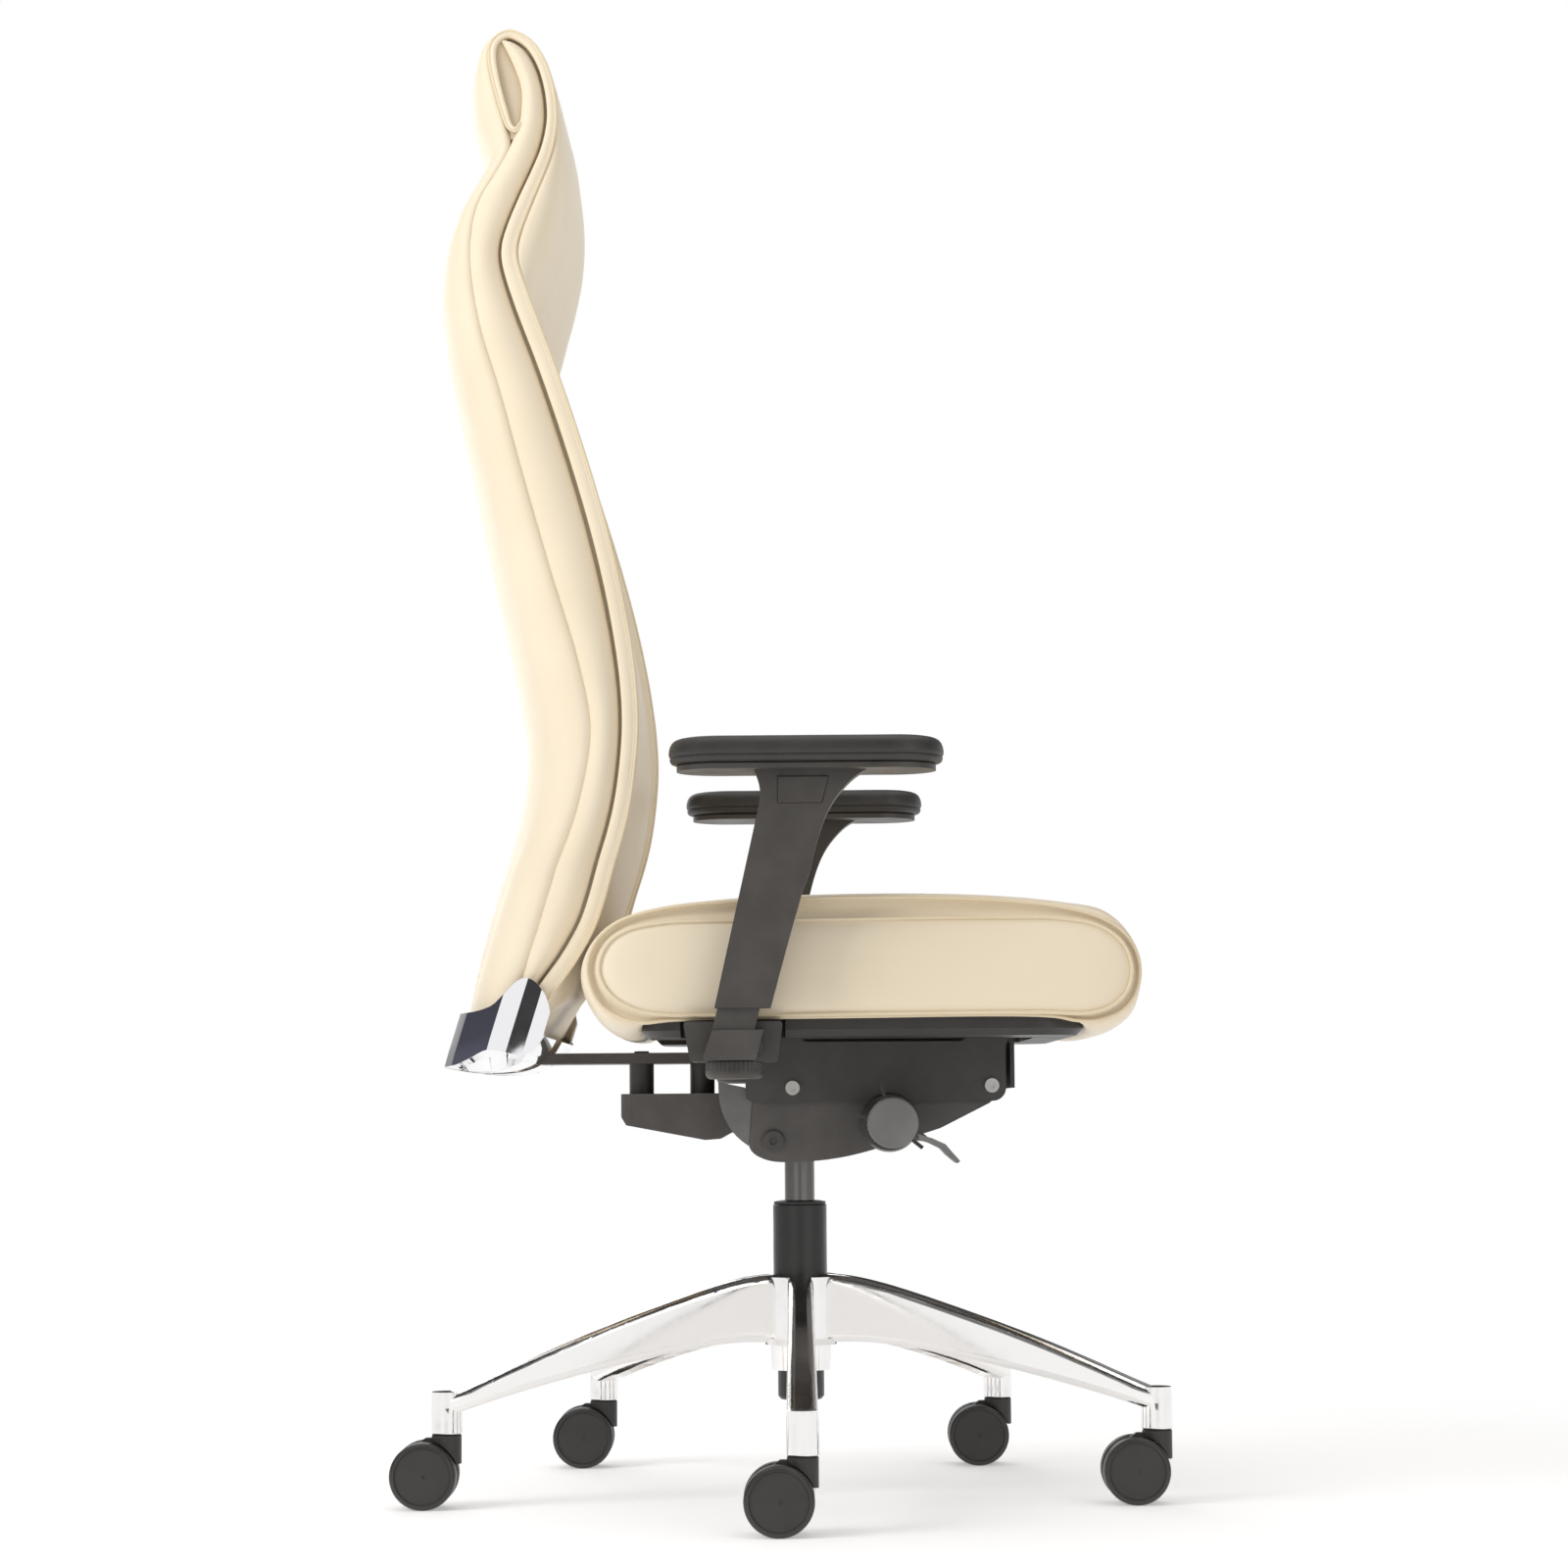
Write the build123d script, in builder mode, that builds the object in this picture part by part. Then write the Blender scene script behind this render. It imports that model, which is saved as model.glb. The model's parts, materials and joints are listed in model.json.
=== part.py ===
from build123d import *

import os
from math import cos, radians, sin, tan

# Swivel office chair. Millimetres, +Z up, origin on the floor on the swivel axis.
# The chair faces -Y, so a sitter's right arm is at -X. "Forward" below means towards -Y.

os.makedirs("parts", exist_ok=True)

# ---------------------------------------------------------------- driving dimensions
FIT = 0.05                     # radial running clearance of every pin in its bore

ARM_COUNT = 5                  # arms of the star base
STEM_CIRCLE = 337.0            # radius from the swivel axis to the castor stems
HUB_RADIUS = 37.0
HUB_BOTTOM = 138.0
HUB_TOP = 200.5
BOSS_BOTTOM = 114.5
SOCKET_RADIUS = 14.25
SOCKET_BOTTOM = 66.5
SOCKET_TOP = 104.0

STEM_RADIUS = 5.5
WHEEL_RADIUS = 30.0
WHEEL_TRAIL = 20.0             # wheel axle behind the castor stem
WHEEL_INNER = 5.3              # inner and outer face of a wheel, from the castor's middle
WHEEL_OUTER = 25.0
AXLE_RADIUS = 4.0

TUBE_RADIUS = 25.0
TUBE_FOOT_RADIUS = 21.5
TUBE_BOTTOM = 87.3
TUBE_TOP = 267.5
CYLINDER_RADIUS = 14.0         # 28 mm gas cylinder
CYLINDER_BORE = 12.0
ROD_RADIUS = 5.0

HOUSING_HALF = 85.0            # half width of the mechanism housing
PLATE_INNER = 90.0             # seat carrier side plates
PLATE_OUTER = 94.0
RECLINE_PIVOT = (-24.0, 327.0)     # (forward, up) of the back lever's cross shaft
TILT_PIVOT = (176.0, 376.0)        # (forward, up) of the seat carrier's front pin
REAR_BOLT = (-6.0, 375.0)
CONTROL_AXIS = (82.0, 343.0)       # (forward, up) of the knob and the two levers
SHAFT_RADIUS = 6.0
LEVER_HALF = 52.0              # half width of the back lever

BAR_HALF = 38.0                # half width of the flat back bar
BAR_THICK = 10.0
BAR_CENTRE = 404.0
BAR_FOOT = (-262.0, BAR_CENTRE)    # where the bar turns up into the back
BAR_HEAD = (-213.6, 602.0)

SEAT_HALF = 248.0
PAN_BOTTOM = 438.0
PAN_TOP = 447.5
TRAY_BOTTOM = 419.0

ARM_TILT = 13.0                # degrees that an arm post leans forward
ARM_INNER = 262.0              # inner and outer face of an arm sleeve
ARM_OUTER = 288.0
PAD_MIDDLE = 270.0
PAD_LENGTH = 240.0
PAD_WIDTH = 88.0
PAD_BOTTOM = 653.5
PAD_TOP = 677.5

BRACKET_HALF = 215.0           # half width of the chrome back bracket


# ---------------------------------------------------------------- planes
def side_plane(x):
    """Plane facing the sitter's right: local x is forward, local y is up."""
    return Plane(origin=(x, 0, 0), x_dir=(0, -1, 0), z_dir=(-1, 0, 0))


def side_slab(sign, inner, outer):
    """Side plane of a slab between two distances from the middle, whose extrusion fills it."""
    return side_plane(max(sign * inner, sign * outer))


ARM_ANGLES = [180.0 + index * 360.0 / ARM_COUNT for index in range(ARM_COUNT)]
STEMS = [(STEM_CIRCLE * cos(radians(a)), STEM_CIRCLE * sin(radians(a))) for a in ARM_ANGLES]

# ---------------------------------------------------------------- star base
# Sections of one arm: distance from the hub, lower edge, upper edge, width.
ARM_SECTIONS = (
    (20.0, 139.0, 203.0, 24.0),
    (100.0, 137.0, 189.0, 24.0),
    (170.0, 125.0, 166.5, 24.5),
    (240.0, 109.5, 141.5, 25.5),
    (300.0, 93.5, 117.0, 26.5),
    (STEM_CIRCLE, 82.0, 102.0, 27.5),
)
ARM_CORNER = 7.0
RIB_HALF = 8.0

with BuildPart() as arm_form:
    for reach, low, high, width in ARM_SECTIONS:
        section_plane = Plane(origin=(reach, 0, (low + high) / 2), x_dir=(0, 1, 0), z_dir=(1, 0, 0))
        with BuildSketch(section_plane):
            RectangleRounded(width, high - low, ARM_CORNER)
    loft()
    with BuildSketch(Plane.XZ):
        with BuildLine():
            Polyline((52, 60), (52, 184), (159, 161), (272, 121.5), (312, 104), (312, 60), close=True)
        make_face()
    extrude(amount=RIB_HALF, both=True, mode=Mode.SUBTRACT)
    for rib in (96, 140, 184, 228, 272):
        rib_top = 185 - (rib - 52) * 0.29
        rib_height = 34 - (rib - 52) * 0.08
        with BuildSketch(Plane.YZ.offset(rib)):
            with Locations((0, rib_top - rib_height / 2)):
                Rectangle(2 * RIB_HALF + 1, rib_height)
        extrude(amount=2.5)
    with BuildSketch(Plane.XY.offset(SOCKET_BOTTOM)):
        with Locations((STEM_CIRCLE, 0)):
            Circle(SOCKET_RADIUS)
    extrude(amount=SOCKET_TOP - SOCKET_BOTTOM, taper=1.2)
    fillet(arm_form.faces().sort_by(Axis.Z)[0].edges(), radius=1.2)

with BuildPart() as star_base:
    with BuildSketch(Plane.XZ):
        with BuildLine():
            Polyline(
                (0, BOSS_BOTTOM), (27, BOSS_BOTTOM), (28, HUB_BOTTOM), (34, HUB_BOTTOM),
                (HUB_RADIUS, HUB_BOTTOM + 6), (HUB_RADIUS, HUB_TOP), (0, HUB_TOP), close=True,
            )
        make_face()
    revolve(axis=Axis.Z)
    with PolarLocations(0, ARM_COUNT, start_angle=ARM_ANGLES[0]):
        add(arm_form.part)
    fillet(star_base.edges().filter_by(GeomType.CIRCLE).sort_by(Axis.Z)[-1:], radius=2)
    with BuildSketch(Plane.XZ):
        with BuildLine():
            Polyline(
                (0, BOSS_BOTTOM - 1), (TUBE_FOOT_RADIUS + FIT, BOSS_BOTTOM - 1),
                (TUBE_FOOT_RADIUS + FIT, BOSS_BOTTOM), (TUBE_RADIUS + FIT, HUB_TOP - 4),
                (TUBE_RADIUS + FIT, HUB_TOP + 10), (0, HUB_TOP + 10), close=True,
            )
        make_face()
    revolve(axis=Axis.Z, mode=Mode.SUBTRACT)
    for stem_x, stem_y in STEMS:
        with BuildSketch(Plane((stem_x, stem_y, SOCKET_BOTTOM - 1))):
            Circle(STEM_RADIUS)
        extrude(amount=33, mode=Mode.SUBTRACT)
star_base.part.label = "star_base"
export_step(star_base.part, "parts/star_base.step")

# ---------------------------------------------------------------- gas column
with BuildPart() as column_tube:
    with BuildSketch(Plane.XZ):
        with BuildLine():
            Polyline(
                (5.3, TUBE_BOTTOM), (19, TUBE_BOTTOM), (TUBE_FOOT_RADIUS, TUBE_BOTTOM + 3),
                (TUBE_FOOT_RADIUS, BOSS_BOTTOM), (TUBE_RADIUS, HUB_TOP - 4), (TUBE_RADIUS, TUBE_TOP - 1),
                (TUBE_RADIUS - 1, TUBE_TOP), (22.5, TUBE_TOP), (22.5, 164), (17.5, 150),
                (17.5, TUBE_BOTTOM + 4.7), (5.3, TUBE_BOTTOM + 4.7), close=True,
            )
        make_face()
    revolve(axis=Axis.Z)
column_tube.part.label = "column_tube"
export_step(column_tube.part, "parts/column_tube.step")

with BuildPart() as column_guide:
    with BuildSketch(Plane.XZ):
        with BuildLine():
            Polyline(
                (CYLINDER_RADIUS + FIT, 166), (22.45, 166), (22.45, TUBE_TOP + 0.1),
                (24.2, TUBE_TOP + 0.1), (24.2, TUBE_TOP + 2.4), (CYLINDER_RADIUS + 3, TUBE_TOP + 3.6),
                (CYLINDER_RADIUS + FIT, TUBE_TOP + 3.6), close=True,
            )
        make_face()
    revolve(axis=Axis.Z)
column_guide.part.label = "column_guide"
export_step(column_guide.part, "parts/column_guide.step")

BEARING_TOP = 100.1
with BuildPart() as thrust_bearing:
    with BuildSketch(Plane.XY.offset(TUBE_BOTTOM + 4.8)):
        Circle(15)
        Circle(5.6, mode=Mode.SUBTRACT)
    extrude(amount=BEARING_TOP - TUBE_BOTTOM - 4.8)
thrust_bearing.part.label = "thrust_bearing"
export_step(thrust_bearing.part, "parts/thrust_bearing.step")

with BuildPart() as piston_rod:
    with BuildSketch(Plane.XY.offset(TUBE_BOTTOM + 1.5)):
        Circle(ROD_RADIUS)
    extrude(amount=150)
    with BuildSketch(Plane.XY.offset(BEARING_TOP + 0.1)):
        Circle(9)
    extrude(amount=4)
    with BuildSketch(Plane.XY.offset(228)):
        Circle(CYLINDER_BORE - FIT)
    extrude(amount=12)
piston_rod.part.label = "piston_rod"
export_step(piston_rod.part, "parts/piston_rod.step")

CYLINDER_BOTTOM = 140.0
CYLINDER_TOP = 391.0
with BuildPart() as gas_cylinder:
    with BuildSketch(Plane.XZ):
        with BuildLine():
            Polyline(
                (ROD_RADIUS + FIT, CYLINDER_BOTTOM), (CYLINDER_RADIUS - 1, CYLINDER_BOTTOM),
                (CYLINDER_RADIUS, CYLINDER_BOTTOM + 1), (CYLINDER_RADIUS, CYLINDER_TOP - 1),
                (CYLINDER_RADIUS - 1, CYLINDER_TOP), (4, CYLINDER_TOP), (4, CYLINDER_TOP + 7),
                (0, CYLINDER_TOP + 7), (0, CYLINDER_TOP - 8), (CYLINDER_BORE, CYLINDER_TOP - 8),
                (CYLINDER_BORE, CYLINDER_BOTTOM + 6), (ROD_RADIUS + FIT, CYLINDER_BOTTOM + 6), close=True,
            )
        make_face()
    revolve(axis=Axis.Z)
gas_cylinder.part.label = "gas_cylinder"
export_step(gas_cylinder.part, "parts/gas_cylinder.step")

# ---------------------------------------------------------------- castors
HOOD_RADIUS = 13.5
HOOD_TOP = SOCKET_BOTTOM - 0.7
HOOD_WEB = 8.4                 # thickness of the web between the wheels
STEM_FOOT = 54.0
STEM_LENGTH = 42.5
SHOULDER = 4.5                 # rounding of a wheel's outer edge

for number, (stem_x, stem_y) in enumerate(STEMS, start=1):
    castor_side = Plane(origin=(stem_x, stem_y, 0), x_dir=(0, -1, 0), z_dir=(-1, 0, 0))
    wheel_centre = (stem_x, stem_y + WHEEL_TRAIL, WHEEL_RADIUS)

    with BuildPart() as caster_fork:
        with BuildSketch(castor_side):
            with Locations((-WHEEL_TRAIL, WHEEL_RADIUS)):
                Circle(27)
            with Locations((-6, 56)):
                Rectangle(HOOD_RADIUS * 1.9, 14)
            make_hull()
        extrude(amount=HOOD_WEB / 2, both=True)
        with BuildSketch(Plane((stem_x, stem_y, 40))):
            Circle(HOOD_RADIUS)
        extrude(amount=HOOD_TOP - 40)
        fillet(caster_fork.faces().sort_by(Axis.Z)[-1].edges(), radius=1.2)
        with BuildSketch(castor_side.offset(HOOD_WEB / 2)):
            with Locations((-WHEEL_TRAIL, WHEEL_RADIUS)):
                Circle(WHEEL_RADIUS + 1.2)
        extrude(amount=40, mode=Mode.SUBTRACT)
        with BuildSketch(castor_side.offset(-HOOD_WEB / 2)):
            with Locations((-WHEEL_TRAIL, WHEEL_RADIUS)):
                Circle(WHEEL_RADIUS + 1.2)
        extrude(amount=-40, mode=Mode.SUBTRACT)
        with BuildSketch(castor_side):
            with Locations((-WHEEL_TRAIL, WHEEL_RADIUS)):
                Circle(AXLE_RADIUS)
        extrude(amount=HOOD_WEB, both=True, mode=Mode.SUBTRACT)
        with BuildSketch(Plane((stem_x, stem_y, STEM_FOOT))):
            Circle(STEM_RADIUS)
        extrude(amount=40, mode=Mode.SUBTRACT)
    caster_fork.part.label = f"caster_{number}_fork"
    export_step(caster_fork.part, f"parts/caster_{number}_fork.step")

    with BuildPart() as caster_pins:
        with BuildSketch(Plane((stem_x, stem_y, STEM_FOOT + FIT))):
            Circle(STEM_RADIUS - FIT)
        extrude(amount=STEM_LENGTH)
        with BuildSketch(castor_side):
            with Locations((-WHEEL_TRAIL, WHEEL_RADIUS)):
                Circle(AXLE_RADIUS - FIT)
        extrude(amount=20, both=True)
    caster_pins.part.label = f"caster_{number}_pins"
    export_step(caster_pins.part, f"parts/caster_{number}_pins.step")

    for side, sign in (("right", -1), ("left", 1)):
        wheel_plane = Plane(origin=wheel_centre, x_dir=(sign, 0, 0), z_dir=(0, -sign, 0))
        with BuildPart() as caster_wheel:
            with BuildSketch(wheel_plane):
                with BuildLine():
                    shoulder_start = (WHEEL_OUTER - SHOULDER, WHEEL_RADIUS)
                    shoulder_end = (WHEEL_OUTER, WHEEL_RADIUS - SHOULDER)
                    Line((WHEEL_INNER, WHEEL_RADIUS), shoulder_start)
                    RadiusArc(shoulder_start, shoulder_end, SHOULDER)
                    Polyline(
                        shoulder_end, (WHEEL_OUTER - 1.4, WHEEL_RADIUS - SHOULDER - 0.8),
                        (WHEEL_OUTER - 1.0, 0), (20.5, 0), (20.5, AXLE_RADIUS), (WHEEL_INNER, AXLE_RADIUS),
                        (WHEEL_INNER, 8.5), (17.5, 9.5), (17.5, 24.5), (WHEEL_INNER, 26.5),
                        (WHEEL_INNER, WHEEL_RADIUS),
                    )
                make_face()
            revolve(axis=Axis(wheel_centre, (1, 0, 0)))
        caster_wheel.part.label = f"caster_{number}_wheel_{side}"
        export_step(caster_wheel.part, f"parts/caster_{number}_wheel_{side}.step")

# ---------------------------------------------------------------- synchro mechanism
HOUSING_TOP = 391.0
WALL = 5.0

with BuildPart() as mechanism_housing:
    with BuildSketch(side_plane(0)):
        with BuildLine():
            Polyline((-43, HOUSING_TOP), (-43, 362), (-46, 322))
            Spline((-46, 322), (-36, 312), (-12, 307.5), tangents=((0.3, -1), (1, 0)))
            Spline((-12, 307.5), (46, 313), (86, 324), tangents=((1, 0), (1, 0.31)))
            Polyline((86, 324), (129, 337.5), (174, 360), (188, 372), (188, 386), (174, HOUSING_TOP),
                     (-43, HOUSING_TOP))
        make_face()
    extrude(amount=HOUSING_HALF, both=True)
    with BuildSketch(side_plane(0)):
        with BuildLine():
            Polyline(
                (-38, HOUSING_TOP + 9), (-38, 322), (-28, 314), (-12, 312.5), (46, 318), (86, 329),
                (127, 342), (170, 363.5), (182, 375), (182, HOUSING_TOP + 9), close=True,
            )
        make_face()
    extrude(amount=HOUSING_HALF - WALL, both=True, mode=Mode.SUBTRACT)
    with BuildSketch(Plane.XY.offset(309)):
        Circle(21)
    extrude(amount=HOUSING_TOP - 309 - 1)
    with BuildSketch(side_plane(0)):
        with Locations((-42, 372)):
            Rectangle(24, 118)
    extrude(amount=LEVER_HALF + 4, both=True, mode=Mode.SUBTRACT)
    with BuildSketch(Plane.XY.offset(300)):
        Circle(CYLINDER_RADIUS + FIT)
    extrude(amount=100, mode=Mode.SUBTRACT)
    with BuildSketch(side_plane(0)):
        with Locations(RECLINE_PIVOT):
            Circle(SHAFT_RADIUS + FIT)
        with Locations(TILT_PIVOT):
            Circle(SHAFT_RADIUS - 1 + FIT)
    extrude(amount=HOUSING_HALF + 5, both=True, mode=Mode.SUBTRACT)
    with BuildSketch(side_slab(-1, HOUSING_HALF - WALL - 1, HOUSING_HALF)):
        with Locations(CONTROL_AXIS):
            Circle(8 + FIT)
    extrude(amount=20, mode=Mode.SUBTRACT)
mechanism_housing.part.label = "mechanism_housing"
export_step(mechanism_housing.part, "parts/mechanism_housing.step")

with BuildPart() as housing_rear_cover:
    with BuildSketch(side_plane(0)):
        with BuildLine():
            Polyline((-46.4, 322.4), (-43.4, 362), (-50, 376), (-74, 381))
            Spline((-74, 381), (-71, 355), (-59, 333), (-46.4, 322.4), tangents=((0, -1), (1, -0.7)))
        make_face()
    extrude(amount=HOUSING_HALF, both=True)
    with BuildSketch(side_plane(0)):
        with Locations((-70, 350)):
            Rectangle(80, 80)
    extrude(amount=LEVER_HALF + 4, both=True, mode=Mode.SUBTRACT)
housing_rear_cover.part.label = "housing_rear_cover"
export_step(housing_rear_cover.part, "parts/housing_rear_cover.step")

HEAD_THICK = 3.6
with BuildPart() as pivot_shaft:
    with BuildSketch(side_plane(0)):
        with Locations(RECLINE_PIVOT):
            Circle(SHAFT_RADIUS)
    extrude(amount=HOUSING_HALF + 1, both=True)
    for sign in (-1, 1):
        with BuildSketch(side_slab(sign, HOUSING_HALF + 0.3, HOUSING_HALF + 0.3 + HEAD_THICK)):
            with Locations(RECLINE_PIVOT):
                Circle(10)
        extrude(amount=HEAD_THICK)
    fillet(pivot_shaft.faces().filter_by(Axis.X).sort_by(Axis.X)[0].edges(), radius=1)
    fillet(pivot_shaft.faces().filter_by(Axis.X).sort_by(Axis.X)[-1].edges(), radius=1)
    with BuildSketch(side_plane(-HOUSING_HALF - 2)):
        with Locations(RECLINE_PIVOT):
            RegularPolygon(4, 6)
    extrude(amount=5, mode=Mode.SUBTRACT)
pivot_shaft.part.label = "pivot_shaft"
export_step(pivot_shaft.part, "parts/pivot_shaft.step")

SPRING_START = 34.0
SPRING_LENGTH = 90.0
with BuildPart() as tension_spring:
    with BuildLine() as spring_path:
        Helix(pitch=12.5, height=SPRING_LENGTH, radius=12, center=(0, -SPRING_START, 362), direction=(0, -1, 0))
    with BuildSketch(spring_path.line ^ 0):
        Circle(2.2)
    sweep()
tension_spring.part.label = "tension_spring"
export_step(tension_spring.part, "parts/tension_spring.step")

# ---------------------------------------------------------------- controls on one axis
TUBE_END = 188.0
with BuildPart() as control_tube:
    with BuildSketch(side_slab(-1, HOUSING_HALF - WALL, TUBE_END)):
        with Locations(CONTROL_AXIS):
            Circle(8)
    extrude(amount=TUBE_END - HOUSING_HALF + WALL)
    with BuildSketch(side_slab(-1, 98, 116)):
        with Locations(CONTROL_AXIS):
            Circle(27)
    extrude(amount=18, taper=6)
    fillet(control_tube.faces().filter_by(Axis.X).sort_by(SortBy.AREA)[-1].edges(), radius=1.5)
    with BuildSketch(side_slab(-1, HOUSING_HALF - WALL - 2, TUBE_END)):
        with Locations(CONTROL_AXIS):
            Circle(5 + FIT)
    extrude(amount=TUBE_END, mode=Mode.SUBTRACT)
control_tube.part.label = "control_tube"
export_step(control_tube.part, "parts/control_tube.step")

KNOB_RADIUS = 22.5
KNOB_INNER = 189.0
KNOB_OUTER = 215.0
KNURL_COUNT = 36
with BuildPart() as tension_knob:
    with BuildSketch(side_slab(-1, 60, KNOB_INNER)):
        with Locations(CONTROL_AXIS):
            Circle(5)
    extrude(amount=KNOB_INNER - 60)
    with BuildSketch(side_slab(-1, 62, 74)):
        with Locations(CONTROL_AXIS):
            RegularPolygon(11, 8)
    extrude(amount=12)
    with BuildSketch(side_slab(-1, KNOB_INNER, KNOB_OUTER)):
        with Locations(CONTROL_AXIS):
            Circle(KNOB_RADIUS)
    extrude(amount=KNOB_OUTER - KNOB_INNER)
    fillet(tension_knob.faces().sort_by(Axis.X)[0].edges(), radius=2)
    with BuildSketch(side_slab(-1, KNOB_INNER - 0.1, KNOB_OUTER)):
        with Locations(CONTROL_AXIS):
            with PolarLocations(KNOB_RADIUS + 0.4, KNURL_COUNT):
                Circle(1.1)
    extrude(amount=KNOB_OUTER - KNOB_INNER - 5, mode=Mode.SUBTRACT)
tension_knob.part.label = "tension_knob"
export_step(tension_knob.part, "parts/tension_knob.step")

with BuildPart() as height_lever:
    with BuildSketch(side_slab(-1, 164, 178)):
        with Locations(CONTROL_AXIS):
            Circle(15)
        with BuildLine():
            Polyline((88, 331), (104, 327), (113, 326), (113, 331), (94, 345), close=True)
        make_face()
        with Locations(CONTROL_AXIS):
            Circle(8 + FIT, mode=Mode.SUBTRACT)
    extrude(amount=14)
    with BuildSketch(side_slab(-1, 164, 214)):
        with BuildLine():
            Polyline(
                (104, 333), (116, 329.5), (128, 324), (133, 318), (141, 309), (138, 307), (129, 314.5),
                (124, 320), (114, 325), (106, 327.5), close=True,
            )
        make_face()
    extrude(amount=50)
    fillet(height_lever.edges().filter_by(Axis.X).sort_by(Axis.Z)[:2], radius=1)
height_lever.part.label = "height_lever"
export_step(height_lever.part, "parts/height_lever.step")

with BuildPart() as lock_lever:
    with BuildSketch(side_slab(-1, 128, 160)):
        with Locations(CONTROL_AXIS):
            Circle(14)
            Circle(8 + FIT, mode=Mode.SUBTRACT)
    extrude(amount=32)
    with BuildSketch(side_slab(-1, 128, 160)):
        for wing_angle in (104, 168, -39):
            with Locations(Location(CONTROL_AXIS, wing_angle)):
                with Locations((24, 0)):
                    Rectangle(24, 3.2)
    extrude(amount=32)
lock_lever.part.label = "lock_lever"
export_step(lock_lever.part, "parts/lock_lever.step")

# ---------------------------------------------------------------- back lever and bar
LEVER_TOP = 371.0
BOLT_SPOTS = (-147.5, -90.5)       # forward position of the two bar bolts
BOLT_HEAD_RADIUS = 7.5
BOLT_HEAD_HEIGHT = 2.0

with BuildPart() as back_lever:
    with BuildSketch(side_plane(0)):
        with BuildLine():
            Polyline(
                (-165, LEVER_TOP), (-165, 350), (-160, 342), (-87, 328), (-73, 329), (-62, 335),
                (-34, 318), (-14, 330), (-14, 338), (-44, 352), (-64, LEVER_TOP), close=True,
            )
        make_face()
        with Locations(RECLINE_PIVOT):
            Circle(12.5)
    extrude(amount=LEVER_HALF, both=True)
    fillet(back_lever.edges().filter_by(Axis.Z).sort_by(Axis.Y)[-2:], radius=9)
    with BuildSketch(side_plane(0)):
        with Locations(RECLINE_PIVOT):
            Circle(SHAFT_RADIUS + FIT)
    extrude(amount=LEVER_HALF + 1, both=True, mode=Mode.SUBTRACT)
    with BuildSketch(Plane.XY.offset(300)):
        Rectangle(50, 60)
    extrude(amount=100, mode=Mode.SUBTRACT)
    with BuildSketch(Plane.XY.offset(LEVER_TOP - 20)):
        with Locations([(0, -spot) for spot in BOLT_SPOTS]):
            Circle(4 + FIT)
    extrude(amount=30, mode=Mode.SUBTRACT)
back_lever.part.label = "back_lever"
export_step(back_lever.part, "parts/back_lever.step")

BAR_LOW = BAR_CENTRE - BAR_THICK / 2
BAR_HIGH = BAR_CENTRE + BAR_THICK / 2
BAR_BEND = 17.0
with BuildPart() as back_bar:
    with BuildSketch(side_plane(0)):
        with BuildLine():
            FilletPolyline((-70, BAR_CENTRE), BAR_FOOT, BAR_HEAD, radius=BAR_BEND)
        trace(line_width=BAR_THICK)
    extrude(amount=BAR_HALF, both=True)
    with BuildSketch(Plane.XY.offset(BAR_LOW - 1)):
        with Locations([(0, -spot) for spot in BOLT_SPOTS]):
            Circle(4 + FIT)
    extrude(amount=BAR_THICK + 2, mode=Mode.SUBTRACT)
back_bar.part.label = "back_bar"
export_step(back_bar.part, "parts/back_bar.step")

with BuildPart() as bar_spacers:
    with BuildSketch(Plane.XY.offset(LEVER_TOP + 0.05)):
        with Locations([(0, -spot) for spot in BOLT_SPOTS]):
            Circle(11.5)
        with Locations([(0, -spot) for spot in BOLT_SPOTS]):
            Circle(4 + FIT, mode=Mode.SUBTRACT)
    extrude(amount=BAR_LOW - LEVER_TOP - 0.1)
bar_spacers.part.label = "bar_spacers"
export_step(bar_spacers.part, "parts/bar_spacers.step")

with BuildPart() as bar_bolts:
    with BuildSketch(Plane.XY.offset(LEVER_TOP - 19)):
        with Locations([(0, -spot) for spot in BOLT_SPOTS]):
            Circle(4)
    extrude(amount=BAR_HIGH - LEVER_TOP + 19.2)
    with BuildSketch(Plane.XY.offset(BAR_HIGH + 0.1)):
        with Locations([(0, -spot) for spot in BOLT_SPOTS]):
            Circle(BOLT_HEAD_RADIUS)
    extrude(amount=BOLT_HEAD_HEIGHT, taper=25)
bar_bolts.part.label = "bar_bolts"
export_step(bar_bolts.part, "parts/bar_bolts.step")

# ---------------------------------------------------------------- seat carrier
with BuildPart() as seat_carrier:
    for sign in (-1, 1):
        with BuildSketch(side_slab(sign, PLATE_INNER, PLATE_OUTER)):
            with BuildLine():
                FilletPolyline(
                    (189, 362), (189, 411), (193, 427), (160, 427), (149, 416.5), (6, 417), (-5, 427),
                    (-5, 436), (-49, 436), (-49, 362), radius=(12, 1, 1, 3, 5, 5, 3, 1, 1, 8), close=True,
                )
            make_face()
        extrude(amount=PLATE_OUTER - PLATE_INNER)
    with BuildSketch(Plane.XY.offset(431)):
        with Locations((0, 27)):
            Rectangle(2 * PLATE_OUTER, 44)
    extrude(amount=5)
    with BuildSketch(Plane.XY.offset(422)):
        with Locations((0, -176)):
            Rectangle(2 * PLATE_OUTER, 30)
    extrude(amount=5)
    with BuildSketch(side_plane(0)):
        with BuildLine():
            Polyline(
                (185, 427), (199, 427), (199, 374), (195, 374), (195, 416), (190, 422), (185, 422),
                close=True,
            )
        make_face()
    extrude(amount=60, both=True)
    with BuildSketch(side_plane(0)):
        with Locations(TILT_PIVOT):
            Circle(5 + FIT)
        with Locations(REAR_BOLT):
            Circle(3 + FIT)
    extrude(amount=PLATE_OUTER + 1, both=True, mode=Mode.SUBTRACT)
seat_carrier.part.label = "seat_carrier"
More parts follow.
